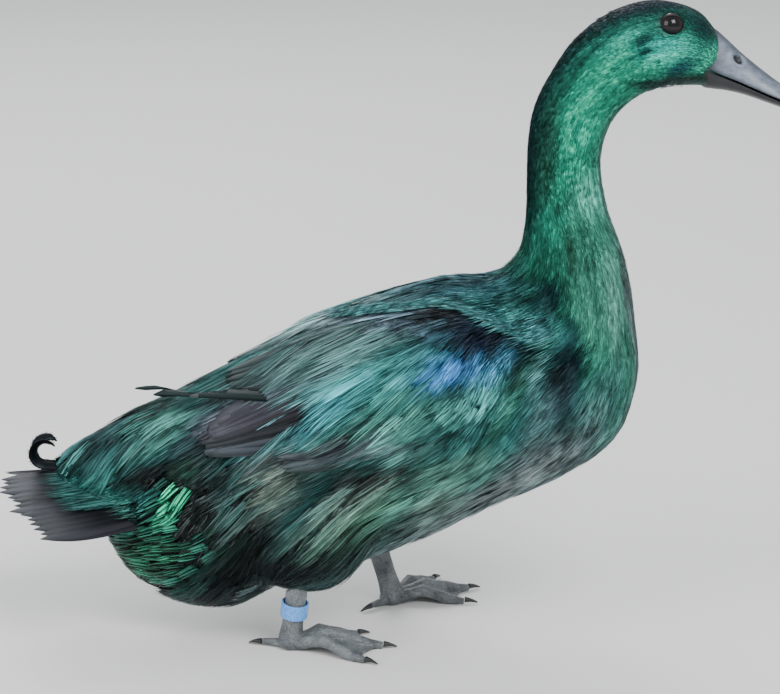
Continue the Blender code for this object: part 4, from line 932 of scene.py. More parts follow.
def laid(name, roots, **inputs):
    """Runs the tree on an object of roots and keeps the result as a plain mesh of its own."""
    modifier = roots.modifiers.new("lay", "NODES")
    modifier.node_group = lay_feathers
    for key, value in inputs.items():
        modifier[socket_of(key.replace("_", " ").capitalize())] = value
    graph = bpy.context.evaluated_depsgraph_get()
    mesh = bpy.data.meshes.new_from_object(roots.evaluated_get(graph))
    roots.modifiers.remove(modifier)
    for scratch in SCRATCH_FIELDS:
        if scratch in mesh.attributes:
            mesh.attributes.remove(mesh.attributes[scratch])
    mesh.shade_smooth()
    mesh.name = name
    return placed(name, mesh)


FEATHER_WIDTH = 0.42
FEATHER_RISE = 0.055
SHOWN_SHARE = 0.6
EYE_CLEARING = 0.0078
PLAIN_FROST = 0.12
FEATHER_CONTRAST = 0.85
# Where the layers under the loose barbs are darkened with painted shade, so that the gaps between the barbs
# show dark.
GAPS = (
    Mark("scale ground", 150, 552, 72, 44, 12, 0.94),
    Mark("bright scale ground", 172, 498, 36, 30, 60, 0.94),
    Mark("fringe", 222, 510, 64, 46, 70, 0.95),
    Mark("rump", 150, 432, 70, 28, 36, 0.75),
    Mark("vent", 245, 590, 90, 34, 10, 0.88),
    Mark("flank", 355, 515, 76, 34, 36, 0.6),
    Mark("scapulars", 320, 345, 120, 36, 24, 0.6),
    Mark("wing", 380, 405, 90, 44, 26, 0.45),
    Mark("wing front", 478, 402, 34, 28, 52, 0.65),
)
# How pale the loose ends of the feathers are.
FROSTS = (
    Mark("front edge", 627, 330, 70, 10, 97, 0.3),
    Mark("breast scales", 600, 410, 50, 26, 62, 0.45),
    Mark("breast low", 560, 455, 56, 20, 38, 0.55),
    Mark("belly edge", 490, 495, 100, 20, 28, 0.95),
    Mark("flank", 340, 508, 64, 24, 36, 0.55),
    Mark("thigh", 296, 566, 90, 28, 14, 0.0),
    Mark("fringe ground", 252, 480, 50, 40, 55, 0.75),
    Mark("scapulars", 330, 340, 100, 26, 24, 0.6),
    Mark("middle wing", 378, 385, 52, 28, 30, 0.3),
    Mark("long coverts", 290, 425, 50, 20, 34, 0.4),
    Mark("lower wing", 395, 440, 60, 14, 20, 0.35),
    Mark("rump", 152, 428, 60, 22, 36, 0.35),
    Mark("upper back", 330, 305, 80, 12, 20, 0.45),
)
feather_length = ring_at(skin_place)[..., FEATHER_COLUMN]
feather_sizes = [feather_length * share for share in (FEATHER_WIDTH, 1.0, FEATHER_RISE)]
dye_skin(feather_length * SHOWN_SHARE, GAPS)
set_fields(
    skin.data,
    size=np.stack(feather_sizes, axis=-1),
    cover=(beyond_face(skin_outline) < 0) & (eye_distance > EYE_CLEARING),
    frost=numbered(PLAIN_FROST, skin_points, FROSTS) * on_body,
    contrast=FEATHER_CONTRAST,
)
FROST_COLOUR = (0.36, 0.44, 0.44, 1.0)
BARB_DEPTH = 0.0002
DARKEST = 0.05


def plumage_material(name, roughness, metallic, streaks, rim=0.0):
    """Feathers whose colour comes from fine layers in the barbs: dark, with a satin, metal-like sheen."""
    made, tree, place = blank_material(name)
    vane = node(tree, "ShaderNodeUVMap", uv_map="vane").outputs[0]
    vane = node(tree, "ShaderNodeSeparateXYZ", {0: vane}).outputs
    across, along = vane["X"], vane["Y"]
    strand, mottle = attribute(tree, "strand"), noise(tree, place, 70.0, 3.0)

    patchy = maths(tree, "MULTIPLY_ADD", mottle, 0.8, -0.4)
    own = maths(tree, "MULTIPLY_ADD", attribute(tree, "own"), 0.9, -0.45)
    lively = maths(tree, "ADD", patchy, own)
    lively = maths(tree, "ADD", lively, maths(tree, "MULTIPLY_ADD", strand, 1.1, -0.4))
    shade = maths(tree, "MULTIPLY_ADD", lively, attribute(tree, "contrast"), 1.0)
    root_shade = maths(tree, "MULTIPLY_ADD", maths(tree, "MINIMUM", along, 0.5), 1.1, 0.45)

    middle = maths(tree, "ABSOLUTE", maths(tree, "SUBTRACT", across, 0.5))
    lengthwise = maths(tree, "MULTIPLY", along, streaks)
    slant = maths(tree, "SUBTRACT", lengthwise, maths(tree, "MULTIPLY", middle, streaks * 0.9))
    barbs = maths(tree, "SINE", maths(tree, "MULTIPLY", slant, 2 * math.pi))
    barb_shade = maths(tree, "MULTIPLY_ADD", barbs, 0.12, 0.88)
    shade = maths(tree, "MULTIPLY", maths(tree, "MULTIPLY", shade, root_shade), barb_shade)
    dyed = scaled(tree, attribute(tree, "tint", "Color"), maths(tree, "MAXIMUM", shade, DARKEST))

    def share_between(value, low, high):
        inputs = {"Value": value, "From Min": low, "From Max": high}
        return node(tree, "ShaderNodeMapRange", inputs).outputs[0]

    edge = share_between(middle, 0.3, 0.5)
    margin = maths(tree, "MAXIMUM", share_between(along, 0.3, 0.7), edge)
    pale = maths(tree, "MULTIPLY", maths(tree, "POWER", strand, 3.0), attribute(tree, "frost"))
    colour = mixed(tree, maths(tree, "MULTIPLY", margin, pale), dyed, FROST_COLOUR)
    return finished_material(
        made,
        {
            "Base Color": scaled(tree, colour, maths(tree, "MULTIPLY_ADD", edge, -rim, 1.0)),
            "Normal": bumps(tree, barbs, 0.25, BARB_DEPTH),
            "Roughness": maths(tree, "MULTIPLY_ADD", mottle, 0.2, roughness - 0.1),
            "Metallic": metallic,
            "Specular IOR Level": 0.2,
        },
    )


def mixed(tree, share, first, second):
    inputs = {"Factor": share, "A": first, "B": second}
    return node(tree, "ShaderNodeMix", inputs, data_type="RGBA").outputs["Result"]


body_plumage = plumage_material("body_plumage", 0.42, 0.55, 14.0)

# A piece can't be measured against itself while it is being made, so its twin is the form under it.
form = placed("form", skin.data)
SIDES = (("right", 1.0), ("left", -1.0))
Coat = namedtuple("Coat", "name first last spacing group slot seed")
face_patterns = pattern_group("face_feathers", feather_pattern, FACE_SHAPE, 2, 11)
body_patterns = pattern_group("body_feathers", feather_pattern, BODY_SHAPE, 4, 12)
loose_patterns = pattern_group("loose_feathers", feather_pattern, LOOSE_SHAPE, 4, 13)
COATS = (
    Coat("coat_head", 0.0, 6.0, 0.00085, face_patterns, "green_plumage", 21),
    Coat("coat_neck", 6.0, 11.0, 0.0014, face_patterns, "green_plumage", 22),
    Coat("coat_breast", 11.0, 13.6, 0.0026, body_patterns, "green_plumage", 23),
    Coat("coat_fore_body", 13.6, 15.4, 0.0037, body_patterns, "dark_plumage", 24),
    Coat("coat_mid_body", 15.4, 17.0, 0.0047, loose_patterns, "dark_plumage", 25),
    Coat("coat_hind_body", 17.0, 18.8, 0.0047, loose_patterns, "dark_plumage", 26),
    Coat("coat_rump", 18.8, 23.0, 0.004, loose_patterns, "green_plumage", 27),
)


def lay_coats(coats, finish, unevenness):
    """Scatters coats of feathers over the parts of the body that they name, on both sides."""
    for coat in coats:
        for side, sign in SIDES:
            piece = laid(
                f"{coat.name}_{side}",
                skin,
                Under=form,
                Patterns=coat.group,
                Scattered=True,
                Spacing=coat.spacing,
                First_place=coat.first,
                Last_place=coat.last,
                Side=sign,
                Unevenness=unevenness,
                Seed=coat.seed,
                Finish=finish,
            )
            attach(piece, "root")


lay_coats(COATS, body_plumage, 0.1)


# The scales under the tail. Each is a short, firm tuft whose barbs lie side by side, and it shines more than
# the rest. They are set in the skin in open rows, over coats darkened with painted shade.
Wisp = namedtuple("Wisp", "strands half_width early spread sections")
LOCK_DRAW = 0.35


def wisp_pattern(name, wisp, draw):
    """A few barbs side by side, of length 1 along +Y, each a thin three-sided spike."""
    bm, strand = new_pattern()
    for number in range(wisp.strands):
        middle = ((number + 0.5) / wisp.strands - 0.5) * 0.9 + draw.uniform(-0.05, 0.05)
        start, end = draw.uniform(0.0, wisp.early), draw.uniform(0.78, 1.1)
        lean, wave = wisp.spread * (middle + draw.uniform(-0.3, 0.3)), draw.uniform(-0.1, 0.1)
        height, half = draw.uniform(0.0, 0.5), wisp.half_width * draw.uniform(0.7, 1.2)

        def centre(t):
            y = start + (end - start) * t
            x = middle * (1 - LOCK_DRAW * t * t) + lean * t * t + wave * math.sin(math.pi * t)
            return x, y, min(y, 1.1) * 0.7 + height * t

        rows = []
        for t, share in wisp.sections:
            x, y, z = centre(t)
            offsets = ((-half * share, 0.0), (0.0, half * share * 2.0), (half * share, 0.0))
            rows.append([bm.verts.new((x + dx, y, z + dz)) for dx, dz in offsets])
        tip = bm.verts.new(centre(1.0))
        shade = draw.random()
        for vertex in (*sum(rows, []), tip):
            vertex[strand] = shade
        close_tube(bm, rows, tip)
    return finished_pattern(name, bm)


SCALE = Wisp(7, 0.085, 0.1, 0.1, ((0.0, 0.5), (0.3, 1.0), (0.75, 0.9)))
SCALE_GROUND = (
    Mark("under tail", 150, 552, 64, 36, 12, 1.0),
    Mark("bright scales", 172, 500, 27, 22, 60, 1.0),
)
SCALE_LENGTH = 0.014
SCALE_LIFT = 0.0028
scale_size = np.array((0.46, 1.0, 0.08)) * SCALE_LENGTH
scaly = numbered(0.0, skin_points, SCALE_GROUND, GAP_SHARPNESS)
set_fields(skin.data, size=scale_size, lift=SCALE_LIFT, cover=scaly, contrast=2.4)
dye_skin(SCALE_LENGTH * SHOWN_SHARE)
scale_patterns = pattern_group("scale_feathers", wisp_pattern, SCALE, 4, 64)
# The scales' darker margins are painted shade between them.
firm_plumage = plumage_material("firm_plumage", 0.34, 0.65, 9.0, 0.75)
scales = Coat("scales", 17.0, 23.0, 0.0064, scale_patterns, "green_plumage", 65)
lay_coats((scales,), firm_plumage, 0.14)


# The loose barbs. Over the body the feathers end in long, silky barbs, in thin wisps that lie over
# the coats and the folded wing and fall over the flank as a fringe. They hide the feathers' edges.
SILKY = Wisp(8, 0.058, 0.3, 0.22, ((0.0, 0.6), (0.35, 1.0), (0.7, 0.8)))
SHORT = Wisp(6, 0.066, 0.3, 0.4, ((0.0, 0.8), (0.55, 1.0)))
PLUSH = Wisp(5, 0.085, 0.35, 0.25, ((0.1, 1.0),))
# Length and lift of the wisps over the body, and how thickly they lie.
WISP_SIZES = (
    Mark("cape", 460, 290, 95, 20, 0, (0.018, 0.0036, 0.6)),
    Mark("cape front", 535, 320, 36, 20, -20, (0.014, 0.0038, 0.7)),
    Mark("breast", 560, 410, 60, 50, 60, (0.015, 0.0016, 0.6)),
    Mark("scapulars", 330, 345, 130, 34, 22, (0.056, 0.0036, 0.22)),
    Mark("shoulder", 488, 352, 38, 30, 0, (0.018, 0.0026, 0.6)),
    Mark("cape gap", 412, 319, 54, 8, -6, (0.024, 0.001, 0.06)),
    Mark("wing front", 482, 400, 30, 40, 60, (0.014, 0.0034, 0.6)),
    Mark("middle wing", 390, 398, 56, 40, 25, (0.044, 0.0034, 0.22)),
    Mark("long coverts", 312, 416, 44, 22, 28, (0.044, 0.0036, 0.18)),
    Mark("flank", 360, 515, 80, 34, 36, (0.05, 0.0026, 0.17)),
    Mark("fringe ground", 248, 492, 52, 50, 55, (0.046, 0.0034, 0.13)),
    Mark("secondaries", 250, 412, 52, 20, 30, (0.026, 0.003, 0.04)),
    Mark("vent", 232, 588, 56, 24, 12, (0.034, 0.0056, 0.36)),
    Mark("rump", 145, 430, 80, 30, 36, (0.036, 0.0028, 0.2)),
    Mark("rump band", 150, 477, 55, 12, 10, (0.022, 0.0014, 0.2)),
    Mark("under tail", 150, 552, 66, 38, 12, (0.012, 0.0016, 0.03)),
    Mark("bright scales", 172, 498, 32, 26, 60, (0.012, 0.0016, 0.02)),
    Mark("tail base", 95, 490, 60, 18, -25, (0.026, 0.0018, 0.6)),
)
# How unlike each other the barbs of a wisp are.
CONTRASTS = (
    Mark("belly edge", 480, 500, 100, 18, 28, 1.9),
    Mark("breast scales", 605, 410, 50, 20, 62, 1.8),
    Mark("wing front", 484, 402, 34, 26, 52, 1.7),
    Mark("flank", 350, 520, 70, 34, 36, 1.7),
    Mark("fringe ground", 240, 490, 60, 44, 55, 2.2),
    Mark("vent", 240, 590, 80, 26, 10, 2.2),
    Mark("rump", 150, 430, 80, 30, 36, 1.8),
    Mark("scapulars", 310, 345, 120, 30, 24, 1.5),
)
WISP_START = (0.026, 0.002, 0.45)
WISP_EDGE = 6
WISP_SPACING = 0.0026
LOCK_LIFT = 0.0008
NECK_WISP = np.array((0.0026, 0.0008))
BODY_WISP = np.array((0.0044, 0.0018))
SHORTENING = 0.4
PLAIN_CONTRAST = 1.15
NECK_CONTRAST = 1.3
NECK_LENGTH = 1.1
NECK_LIFT = 0.3
BACK_LIFT = 0.35
BACK_TURNS = (8, 40)
BARE_FACE = (3.5, 6.5)
SHORTENED_AT = (1.0, 0.8, 0.6, 0.4)

start = np.tile(WISP_START, skin_place.shape + (1,))
wisps = marked(start, *side_view(skin_points), WISP_SIZES, WISP_EDGE)
wisp_length, wisp_lift, wisp_cover = np.moveaxis(wisps, -1, 0)
wisp_length = between(feather_length * NECK_LENGTH, wisp_length, on_body)
for share in SHORTENED_AT:
    ends = skin_points + skin_flow * wisp_length[..., None] * share
    over_scales = numbered(0.0, ends, SCALE_GROUND, GAP_SHARPNESS)
    wisp_length = wisp_length * (1 - SHORTENING * over_scales)
wisp_lift = wisp_lift * between(BACK_LIFT, 1, smooth_step(*BACK_TURNS, np.abs(skin_turn)))
wisp_width, wisp_rise = np.moveaxis(between(NECK_WISP, BODY_WISP, on_body[..., None]), -1, 0)
contrast = numbered(PLAIN_CONTRAST, skin_points, CONTRASTS)
set_fields(
    skin.data,
    size=np.stack([wisp_width, wisp_length, wisp_rise], -1),
    lift=(wisp_lift + LOCK_LIFT * parting.clip(-1, 2)) * between(NECK_LIFT, 1, on_body),
    cover=between(1, wisp_cover, on_body) * smooth_step(*BARE_FACE, skin_place),
    contrast=between(NECK_CONTRAST, contrast, on_body),
)
# Wisps that end among the scales get painted shade, as the dark ground between them.
dye_skin(wisp_length * SHOWN_SHARE, GAPS[:2])
silky_patterns = pattern_group("silky_barbs", wisp_pattern, SILKY, 6, 61)
short_patterns = pattern_group("short_barbs", wisp_pattern, SHORT, 5, 62)
plush_patterns = pattern_group("plush_barbs", wisp_pattern, PLUSH, 5, 63)
silk = plumage_material("silky_barbs", 0.34, 0.5, 3.0)
WISP_COATS = (
    Coat("barbs_neck", 3.5, 9.6, 0.0011, plush_patterns, "green_plumage", 69),
    Coat("barbs_neck_foot", 9.6, 12.4, 0.0015, plush_patterns, "green_plumage", 70),
    Coat("barbs_fore_body", 12.4, 14.4, 0.002, short_patterns, "green_plumage", 71),
    Coat("barbs_wing_front", 14.4, 15.6, WISP_SPACING, silky_patterns, "green_plumage", 72),
    Coat("barbs_wing_rear", 15.6, 17.2, WISP_SPACING, silky_patterns, "green_plumage", 73),
    Coat("barbs_hind_body", 17.2, 19.0, WISP_SPACING, silky_patterns, "dark_plumage", 74),
    Coat("barbs_rump", 19.0, 22.6, WISP_SPACING, silky_patterns, "green_plumage", 75),
)
lay_coats(WISP_COATS, silk, 0.05)
# Nothing more is laid from the skin, so it gets back its own colour.
dye_skin(0.0)


# The cape's edge. Short locks in two rows along the lower edge of the feathered cape, which falls
# over the front of the wing. They grow from the skin of the shoulder, and their tips make its rim.
Spot = namedtuple("Spot", "place turn")
CAPE_EDGE = (
    Spot(16.15, 7),
    Spot(15.75, 17),
    Spot(15.3, 28),
    Spot(14.75, 32),
    Spot(14.3, 40),
    Spot(13.8, 50),
    Spot(13.25, 59),
    Spot(12.7, 66),
)
CAPE_LOCKS = 74
CAPE_ROWS = 2
CAPE_BACK = 5.0
CAPE_LOCK = np.array((0.0062, 0.015, 0.0012))
CAPE_LIFT = 0.0046
CAPE_COLOUR = (0.046, 0.18, 0.185)
CAPE_FROST = 0.15
ROW_UNEVENNESS = 0.006


def root_fields(root, way, out, sizes, colour, place, turn, lift, roll, frost, contrast=1.0):
    """What a row's feathers need at their roots. What is one number holds for all of them."""
    count = len(root)
    flat = bake_place(place, turn)
    return {
        "position": root,
        "out": out,
        "flow": way,
        "size": sizes,
        "tint": np.concatenate([np.clip(colour, 0, 1), np.ones((count, 1))], -1),
        "lift": np.full(count, lift),
        "roll": np.full(count, roll),
        "frost": np.full(count, frost),
        "contrast": np.full(count, contrast),
        "OFBake": np.concatenate([flat, np.zeros((count, 1))], -1),
    }


def laid_rows(name, rows, side, under, patterns, finish, seed, points_of):
    """Lays rows of single feathers over a piece, one feather at each root."""
    draw = np.random.default_rng(seed)
    parts = [points_of(row, side, draw) for row in rows]
    joined = {key: np.concatenate([part[key] for part in parts]) for key in parts[0]}
    roots = new_piece(name + "_roots", joined.pop("position"), [], smooth=False)
    set_fields(roots.data, **joined)
    piece = laid(
        name,
        roots,
        Under=under,
        Patterns=patterns,
        Scattered=False,
        Unevenness=ROW_UNEVENNESS,
        Seed=seed,
        Finish=finish,
    )
    bpy.data.objects.remove(roots)
    return piece


def cape_points(row, side, draw):
    """Roots of short locks along the cape's edge, each row a little higher on the back."""
    share = np.linspace(0, 1, CAPE_LOCKS) + draw.normal(0, 0.006, CAPE_LOCKS)
    corners = np.linspace(0, 1, len(CAPE_EDGE))
    place, turn = (np.interp(share, corners, values) for values in zip(*CAPE_EDGE))
    turn = (turn - CAPE_BACK * row) * side
    root, (along, _, out) = body_point(place, turn), body_ways(place, turn)
    sizes = CAPE_LOCK * draw.uniform(0.8, 1.25, (CAPE_LOCKS, 1))
    colour = np.array(CAPE_COLOUR) * draw.uniform(0.5, 1.4, (CAPE_LOCKS, 1))
    flow = feather_lie(root, out, along, place)
    return root_fields(root, flow, out, sizes, colour, place, turn, CAPE_LIFT, 0.0, CAPE_FROST)


for side, sign in SIDES:
    cape = laid_rows(
        f"cape_edge_{side}", range(CAPE_ROWS), sign, skin, short_patterns, silk, 76, cape_points
    )
    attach(cape, "root")


# The wings. The long flight feathers show beyond the coats of the folded arm: the secondaries, a few
# lower ones and the tertials, in rows whose feathers close like a fan. The tips of the two longest
# leave the wing and lie free over the rump. Each has a firm vane on a shaft set in the arm.
Vane = namedtuple("Vane", "widths thickness droop strands first_strand strand_length bow")
LOOSE_VANE = Vane(
    ((0, 0.08), (0.1, 0.3), (0.25, 0.44), (0.45, 0.5), (0.65, 0.44), (0.8, 0.3), (0.92, 0.13)),
    0.06,
    0.12,
    44,
    0.15,
    0.17,
    0.05,
)
FLIGHT_VANE = Vane(
    tuple((reach, 0.5 * (1 - (2 * reach - 0.8) ** 4 / 2.1)) for reach in np.linspace(0.0, 0.98, 15)),
    0.06,
    0.03,
    0,
    0.0,
    0.0,
    0.04,
)


def vane_pattern(name, vane, draw):
    """A long feather of length and width 1 along +Y, with strands along both margins."""
    bm, strand = new_pattern()
    bow = vane.bow * draw.uniform(-1, 1)

    def point(x, y, lift=0.0):
        height = min(y, 1.15) ** 1.1 - vane.droop * min(abs(x), 0.6) * 2 * min(y * 3, 1) + lift
        return bm.verts.new((x + bow * y * y, y, height))

    ends, halves = zip(*vane.widths)
    rows = [
        [point(-half, y), point(0, y, vane.thickness), point(half, y), point(0, y, -vane.thickness)]
        for y, half in vane.widths
    ]
    close_tube(bm, rows, point(0, 1))
    for vertex in bm.verts:
        vertex[strand] = VANE_SHADE
    for number in range(vane.strands):
        edge_side = -1 if number % 2 else 1
        y = vane.first_strand + (0.98 - vane.first_strand) * (number / vane.strands) ** 0.8
        half = np.interp(y, ends, halves) * edge_side
        reach = vane.strand_length * draw.uniform(0.55, 1.15)
        tip_x = half + edge_side * reach * draw.uniform(0.1, 0.55)
        wide = 0.03 + 0.02 * draw.random()
        low = [point(half * 0.86, y - wide, 0.02), point(half * 0.98, y + wide, 0.02)]
        high = [point(half * 0.8, y + wide, 0.12), point(tip_x, y + reach, draw.uniform(0.0, 0.1))]
        add_spike(bm, strand, low + high, draw.random())
    return finished_pattern(name, bm)


loose_vanes = pattern_group("loose_vanes", vane_pattern, LOOSE_VANE, 4, 31)
flight_patterns = pattern_group("flight_vanes", vane_pattern, FLIGHT_VANE, 4, 32)

Row = namedtuple("Row", "name count roots tips width lift rise colour dye frost")
WING_ROWS = (
    Row(
        "secondaries",
        9,
        (Spot(16.5, 37), Spot(16.7, 76)),
        (Spot(17.95, 49), Spot(18.2, 62)),
        0.0086,
        0.0024,
        0.0052,
        (0.032, 0.028, 0.038),
        0.9,
        0.8,
    ),
    Row(
        "lower secondaries",
        3,
        (Spot(15.9, 84), Spot(15.8, 90)),
        (Spot(17.1, 78), Spot(16.9, 86)),
        0.009,
        0.0014,
        0.003,
        (0.04, 0.044, 0.052),
        0.8,
        0.8,
    ),
    Row(
        "tertials",
        5,
        (Spot(16.3, 22), Spot(16.3, 42)),
        (Spot(17.65, 14), Spot(17.8, 31)),
        0.01,
        0.0014,
        0.0034,
        (0.026, 0.034, 0.038),
        0.85,
        0.6,
    ),
)
WING_ROLL = 0.1
LIFT_STEP = 0.0002


def spots_between(spots, share):
    """Places and turns a share of the way from one spot to another."""
    return (between(first, last, share) for first, last in zip(*spots))


def vane_sizes(way, width, rise):
    length = np.linalg.norm(way, axis=-1)
    return np.stack([np.full(len(way), width), length, np.full(len(way), rise)], -1)


def row_points(row, side, draw):
    """Roots, ways and sizes of one row's feathers, from its uppermost to its lowest."""
    share = np.linspace(0, 1, row.count)
    jitter = draw.normal(0, 0.02, (4, row.count))
    root_place, root_turn = spots_between(row.roots, share)
    tip_place, tip_turn = spots_between(row.tips, share)
    root_place, root_turn = root_place + jitter[0], root_turn * side
    tip_place, tip_turn = tip_place + jitter[1] * 2, (tip_turn + jitter[2] * 40) * side
    root, tip = body_point(root_place, root_turn), body_point(tip_place, tip_turn)
    ends = ((root, tip), (root_place, tip_place), (root_turn, tip_turn))
    colour = plumage_colour(*(between(*pair, SHOWN_SHARE) for pair in ends))
    colour = between(colour, np.asarray(row.colour), row.dye) * (1 + jitter[3][:, None] * 6)
    return root_fields(
        root,
        tip - root,
        body_ways(root_place, root_turn)[2],
        vane_sizes(tip - root, row.width, row.rise),
        colour,
        root_place,
        root_turn,
        row.lift + share * LIFT_STEP,
        WING_ROLL * side,
        row.frost,
    )


wing_plumage = plumage_material("wing_plumage", 0.38, 0.55, 46.0)
quill_plumage = plumage_material("quill_plumage", 0.46, 0.35, 46.0, -0.4)

PRIMARY_ROOTS = (Spot(16.95, 46), Spot(16.95, 51))
PRIMARY_TIPS = {1: (Spot(19.55, 12), Spot(19.05, 20)), -1: (Spot(19.2, 32), Spot(18.9, 40))}
PRIMARY_LIFTS = {1: (0.017, 0.013), -1: (0.003, 0.002)}
PRIMARY_COUNT = 2
PRIMARY_WIDTH = 0.0068
PRIMARY_RISE = 0.0008
PRIMARY_STEP = 0.0008
PRIMARY_ROLL = 0.08
PRIMARY_COLOUR = (0.018, 0.03, 0.032)
SHEET_DEPTH = 0.0012
SHEET_SHARES = np.linspace(-0.7, 1.7, 25)
SHEET_REACHES = np.linspace(-0.15, 1.15, 27)
PRIMARY_COLUMNS = (7, 17)
PRIMARY_ENDS = (3, 23)


def sheet_faces(columns, rows, turned):
    """Faces of an open sheet of points, turned over where the sheet is mirrored."""
    index = np.arange(columns * rows).reshape(columns, rows)
    faces = np.stack([index[:-1, :-1], index[:-1, 1:], index[1:, 1:], index[1:, :-1]], -1)
    faces = faces.reshape(-1, 4)
    return (faces[:, ::-1] if turned else faces).tolist()


def primary_sheet(side):
    """The points of the curved sheet that the free tips lie on."""
    share, reach = np.meshgrid(SHEET_SHARES, SHEET_REACHES, indexing="ij")
    roots, tips = spots_between(PRIMARY_ROOTS, share), spots_between(PRIMARY_TIPS[side], share)
    place, turn = (between(*ends, reach) for ends in zip(roots, tips))
    rise = 1 - (1 - np.clip(reach, 0, 1)) ** 2
    lift = between(*PRIMARY_LIFTS[side], share) * rise - SHEET_DEPTH
    return body_point(place, turn * side) + body_ways(place, turn * side)[2] * lift[..., None]


def primary_points(points, side, draw):
    share = np.linspace(0, 1, PRIMARY_COUNT)
    columns = np.round(np.interp(share, (0, 1), PRIMARY_COLUMNS)).astype(int)
    root, tip = (points[columns, end] for end in PRIMARY_ENDS)
    place, turn = spots_between(PRIMARY_ROOTS, share)
    return root_fields(
        root,
        tip - root,
        body_ways(place, turn * side)[2],
        vane_sizes(tip - root, PRIMARY_WIDTH, PRIMARY_RISE),
        np.tile(PRIMARY_COLOUR, (PRIMARY_COUNT, 1)),
        place,
        turn * side,
        share * PRIMARY_STEP,
        PRIMARY_ROLL * side,
        0.0,
        0.5,
    )


for side, sign in SIDES:
    wing = laid_rows(
        f"wing_feathers_{side}", WING_ROWS, sign, skin, flight_patterns, quill_plumage, 41, row_points
    )
    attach(wing, "root")
    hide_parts(f"wing_{side}")
    points = primary_sheet(sign)
    sheet = new_piece("primary_sheet", points, sheet_faces(*points.shape[:2], sign < 0))
    name = f"primaries_{side}"
    primaries = laid_rows(
        name, (points,), sign, sheet, flight_patterns, wing_plumage, 43, primary_points
    )
    bpy.data.objects.remove(sheet)
    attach(primaries, "root")

bpy.data.objects.remove(form)


# The tail. Firm flight feathers spread in a low roof on each side of the tail root, and two rows of
# softer coverts lie over their roots.
FAN_ROOT_MIDDLE = np.array((-0.169, 0.006, 0.108))
FAN_ROOT_SIDE = np.array((-0.148, 0.027, 0.084))
FAN_TIP_MIDDLE = np.array((-0.2443, 0.0045, 0.0985))
FAN_TIP_SIDE = np.array((-0.211, 0.064, 0.0775))
FAN_SAG = 0.003
FAN_COLUMNS = 31
FAN_STEPS = 21
FAN_CURVE = 1.7


def fan_point(out, reach, side):
    """A point of the fan: out 0 is the middle feather, and reach 1 the tips."""
    out = np.asarray(out, float)[..., None]
    reach = np.asarray(reach, float)[..., None]
    root = between(FAN_ROOT_MIDDLE, FAN_ROOT_SIDE, out)
    tip = between(FAN_TIP_MIDDLE, FAN_TIP_SIDE, out)
    tip[..., 0] = between(FAN_TIP_MIDDLE[0], FAN_TIP_SIDE[0], np.abs(out[..., 0]) ** FAN_CURVE)
    point = between(root, tip, reach)
    point[..., 2] -= FAN_SAG * np.sin(np.pi * np.clip(reach[..., 0], 0, 1))
    point[..., 1] *= side
    return point + bird_place


def fan_sheet(side):
    shares, reaches = np.linspace(-0.4, 1.3, FAN_COLUMNS), np.linspace(-0.6, 1.2, FAN_STEPS)
    points = fan_point(*np.meshgrid(shares, reaches, indexing="ij"), side)
    return new_piece("fan_sheet", points, sheet_faces(FAN_COLUMNS, FAN_STEPS, side > 0))


FanRow = namedtuple("FanRow", "name out first last width lift rise roll colour frost")
FAN_ROWS = (
    FanRow("tail feathers", 1.0, -0.1, 0.99, 0.012, 0.0, 0.0036, 0.2, (0.025, 0.025, 0.034), 0.8),
)
COVERT_ROWS = (
    FanRow("long coverts", 0.62, -0.4, 0.58, 0.009, 0.0022, 0.0026, 0.09, (0.03, 0.13, 0.12), 0.3),
    FanRow("short coverts", 0.95, -0.55, 0.28, 0.008, 0.0036, 0.003, 0.08, (0.04, 0.17, 0.145), 0.3),
)
FAN_COUNT = 14
FAN_FIRST = 0.02
FAN_NEXT = 0.05
FAN_LIFT_STEP = 0.0006
FAN_PLACE = 22.0


def fan_points(row, side, draw):
    share = np.linspace(FAN_FIRST, row.out, FAN_COUNT)
    middle, first = np.full(FAN_COUNT, 0.5), np.full(FAN_COUNT, row.first)
    root = fan_point(share, first, side)
    tip = fan_point(share, row.last + draw.normal(0, 0.02, FAN_COUNT), side)
    across = fan_point(share + FAN_NEXT, middle, side) - fan_point(share, middle, side)
    out = unit(np.cross(across, tip - root))
    colour = np.asarray(row.colour) * (1 + draw.normal(0, 0.15, (FAN_COUNT, 1)))
    return root_fields(
        root,
        tip - root,
        out * np.sign(out[:, 2:]),
        vane_sizes(tip - root, row.width, row.rise),
        colour,
        FAN_PLACE,
        90 * side * share,
        row.lift - share * FAN_LIFT_STEP,
        row.roll * side,
        row.frost,
    )


for side, sign in SIDES:
    sheet = fan_sheet(-sign)
    for name, rows, patterns, finish, seed in (
        ("tail_fan", FAN_ROWS, flight_patterns, quill_plumage, 51),
        ("tail_coverts", COVERT_ROWS, loose_vanes, wing_plumage, 53),
    ):
        piece = laid_rows(f"{name}_{side}", rows, -sign, sheet, patterns, finish, seed, fan_points)
        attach(piece, "root")
    bpy.data.objects.remove(sheet)


# The curled feathers. Two narrow feathers over the middle of the tail turn up and forward in a ring,
# as only a drake's do. Each is a flat vane on its shaft, with barbs that part along both edges.
CURL_RADIUS = 0.008
CURL_CENTRE = np.array((-0.215, 0.004, 0.1168))
CURL_ROOT = np.array((-0.19, 0.004, 0.106))
CURL_ANGLES = (-78.0, -322.0)
CURL_LEAN = 0.0022
CURL_HALF_WIDTH = 0.0034
CURL_THICKNESS = 0.001
CURL_TILT = 0.9
CURL_STEPS = 72
CURL_BARBS = 90
STEM_STEPS = 24
PATH_ROUNDS = 6
CURL_WIDTHS = ((0, 0.15, 0.6, 0.9, 1), (0.25, 0.8, 1.0, 0.75, 0.12))
BARBED_STEPS = (10, CURL_STEPS - 3)
CURL_COLOUR = (0.01, 0.016, 0.02, 1.0)


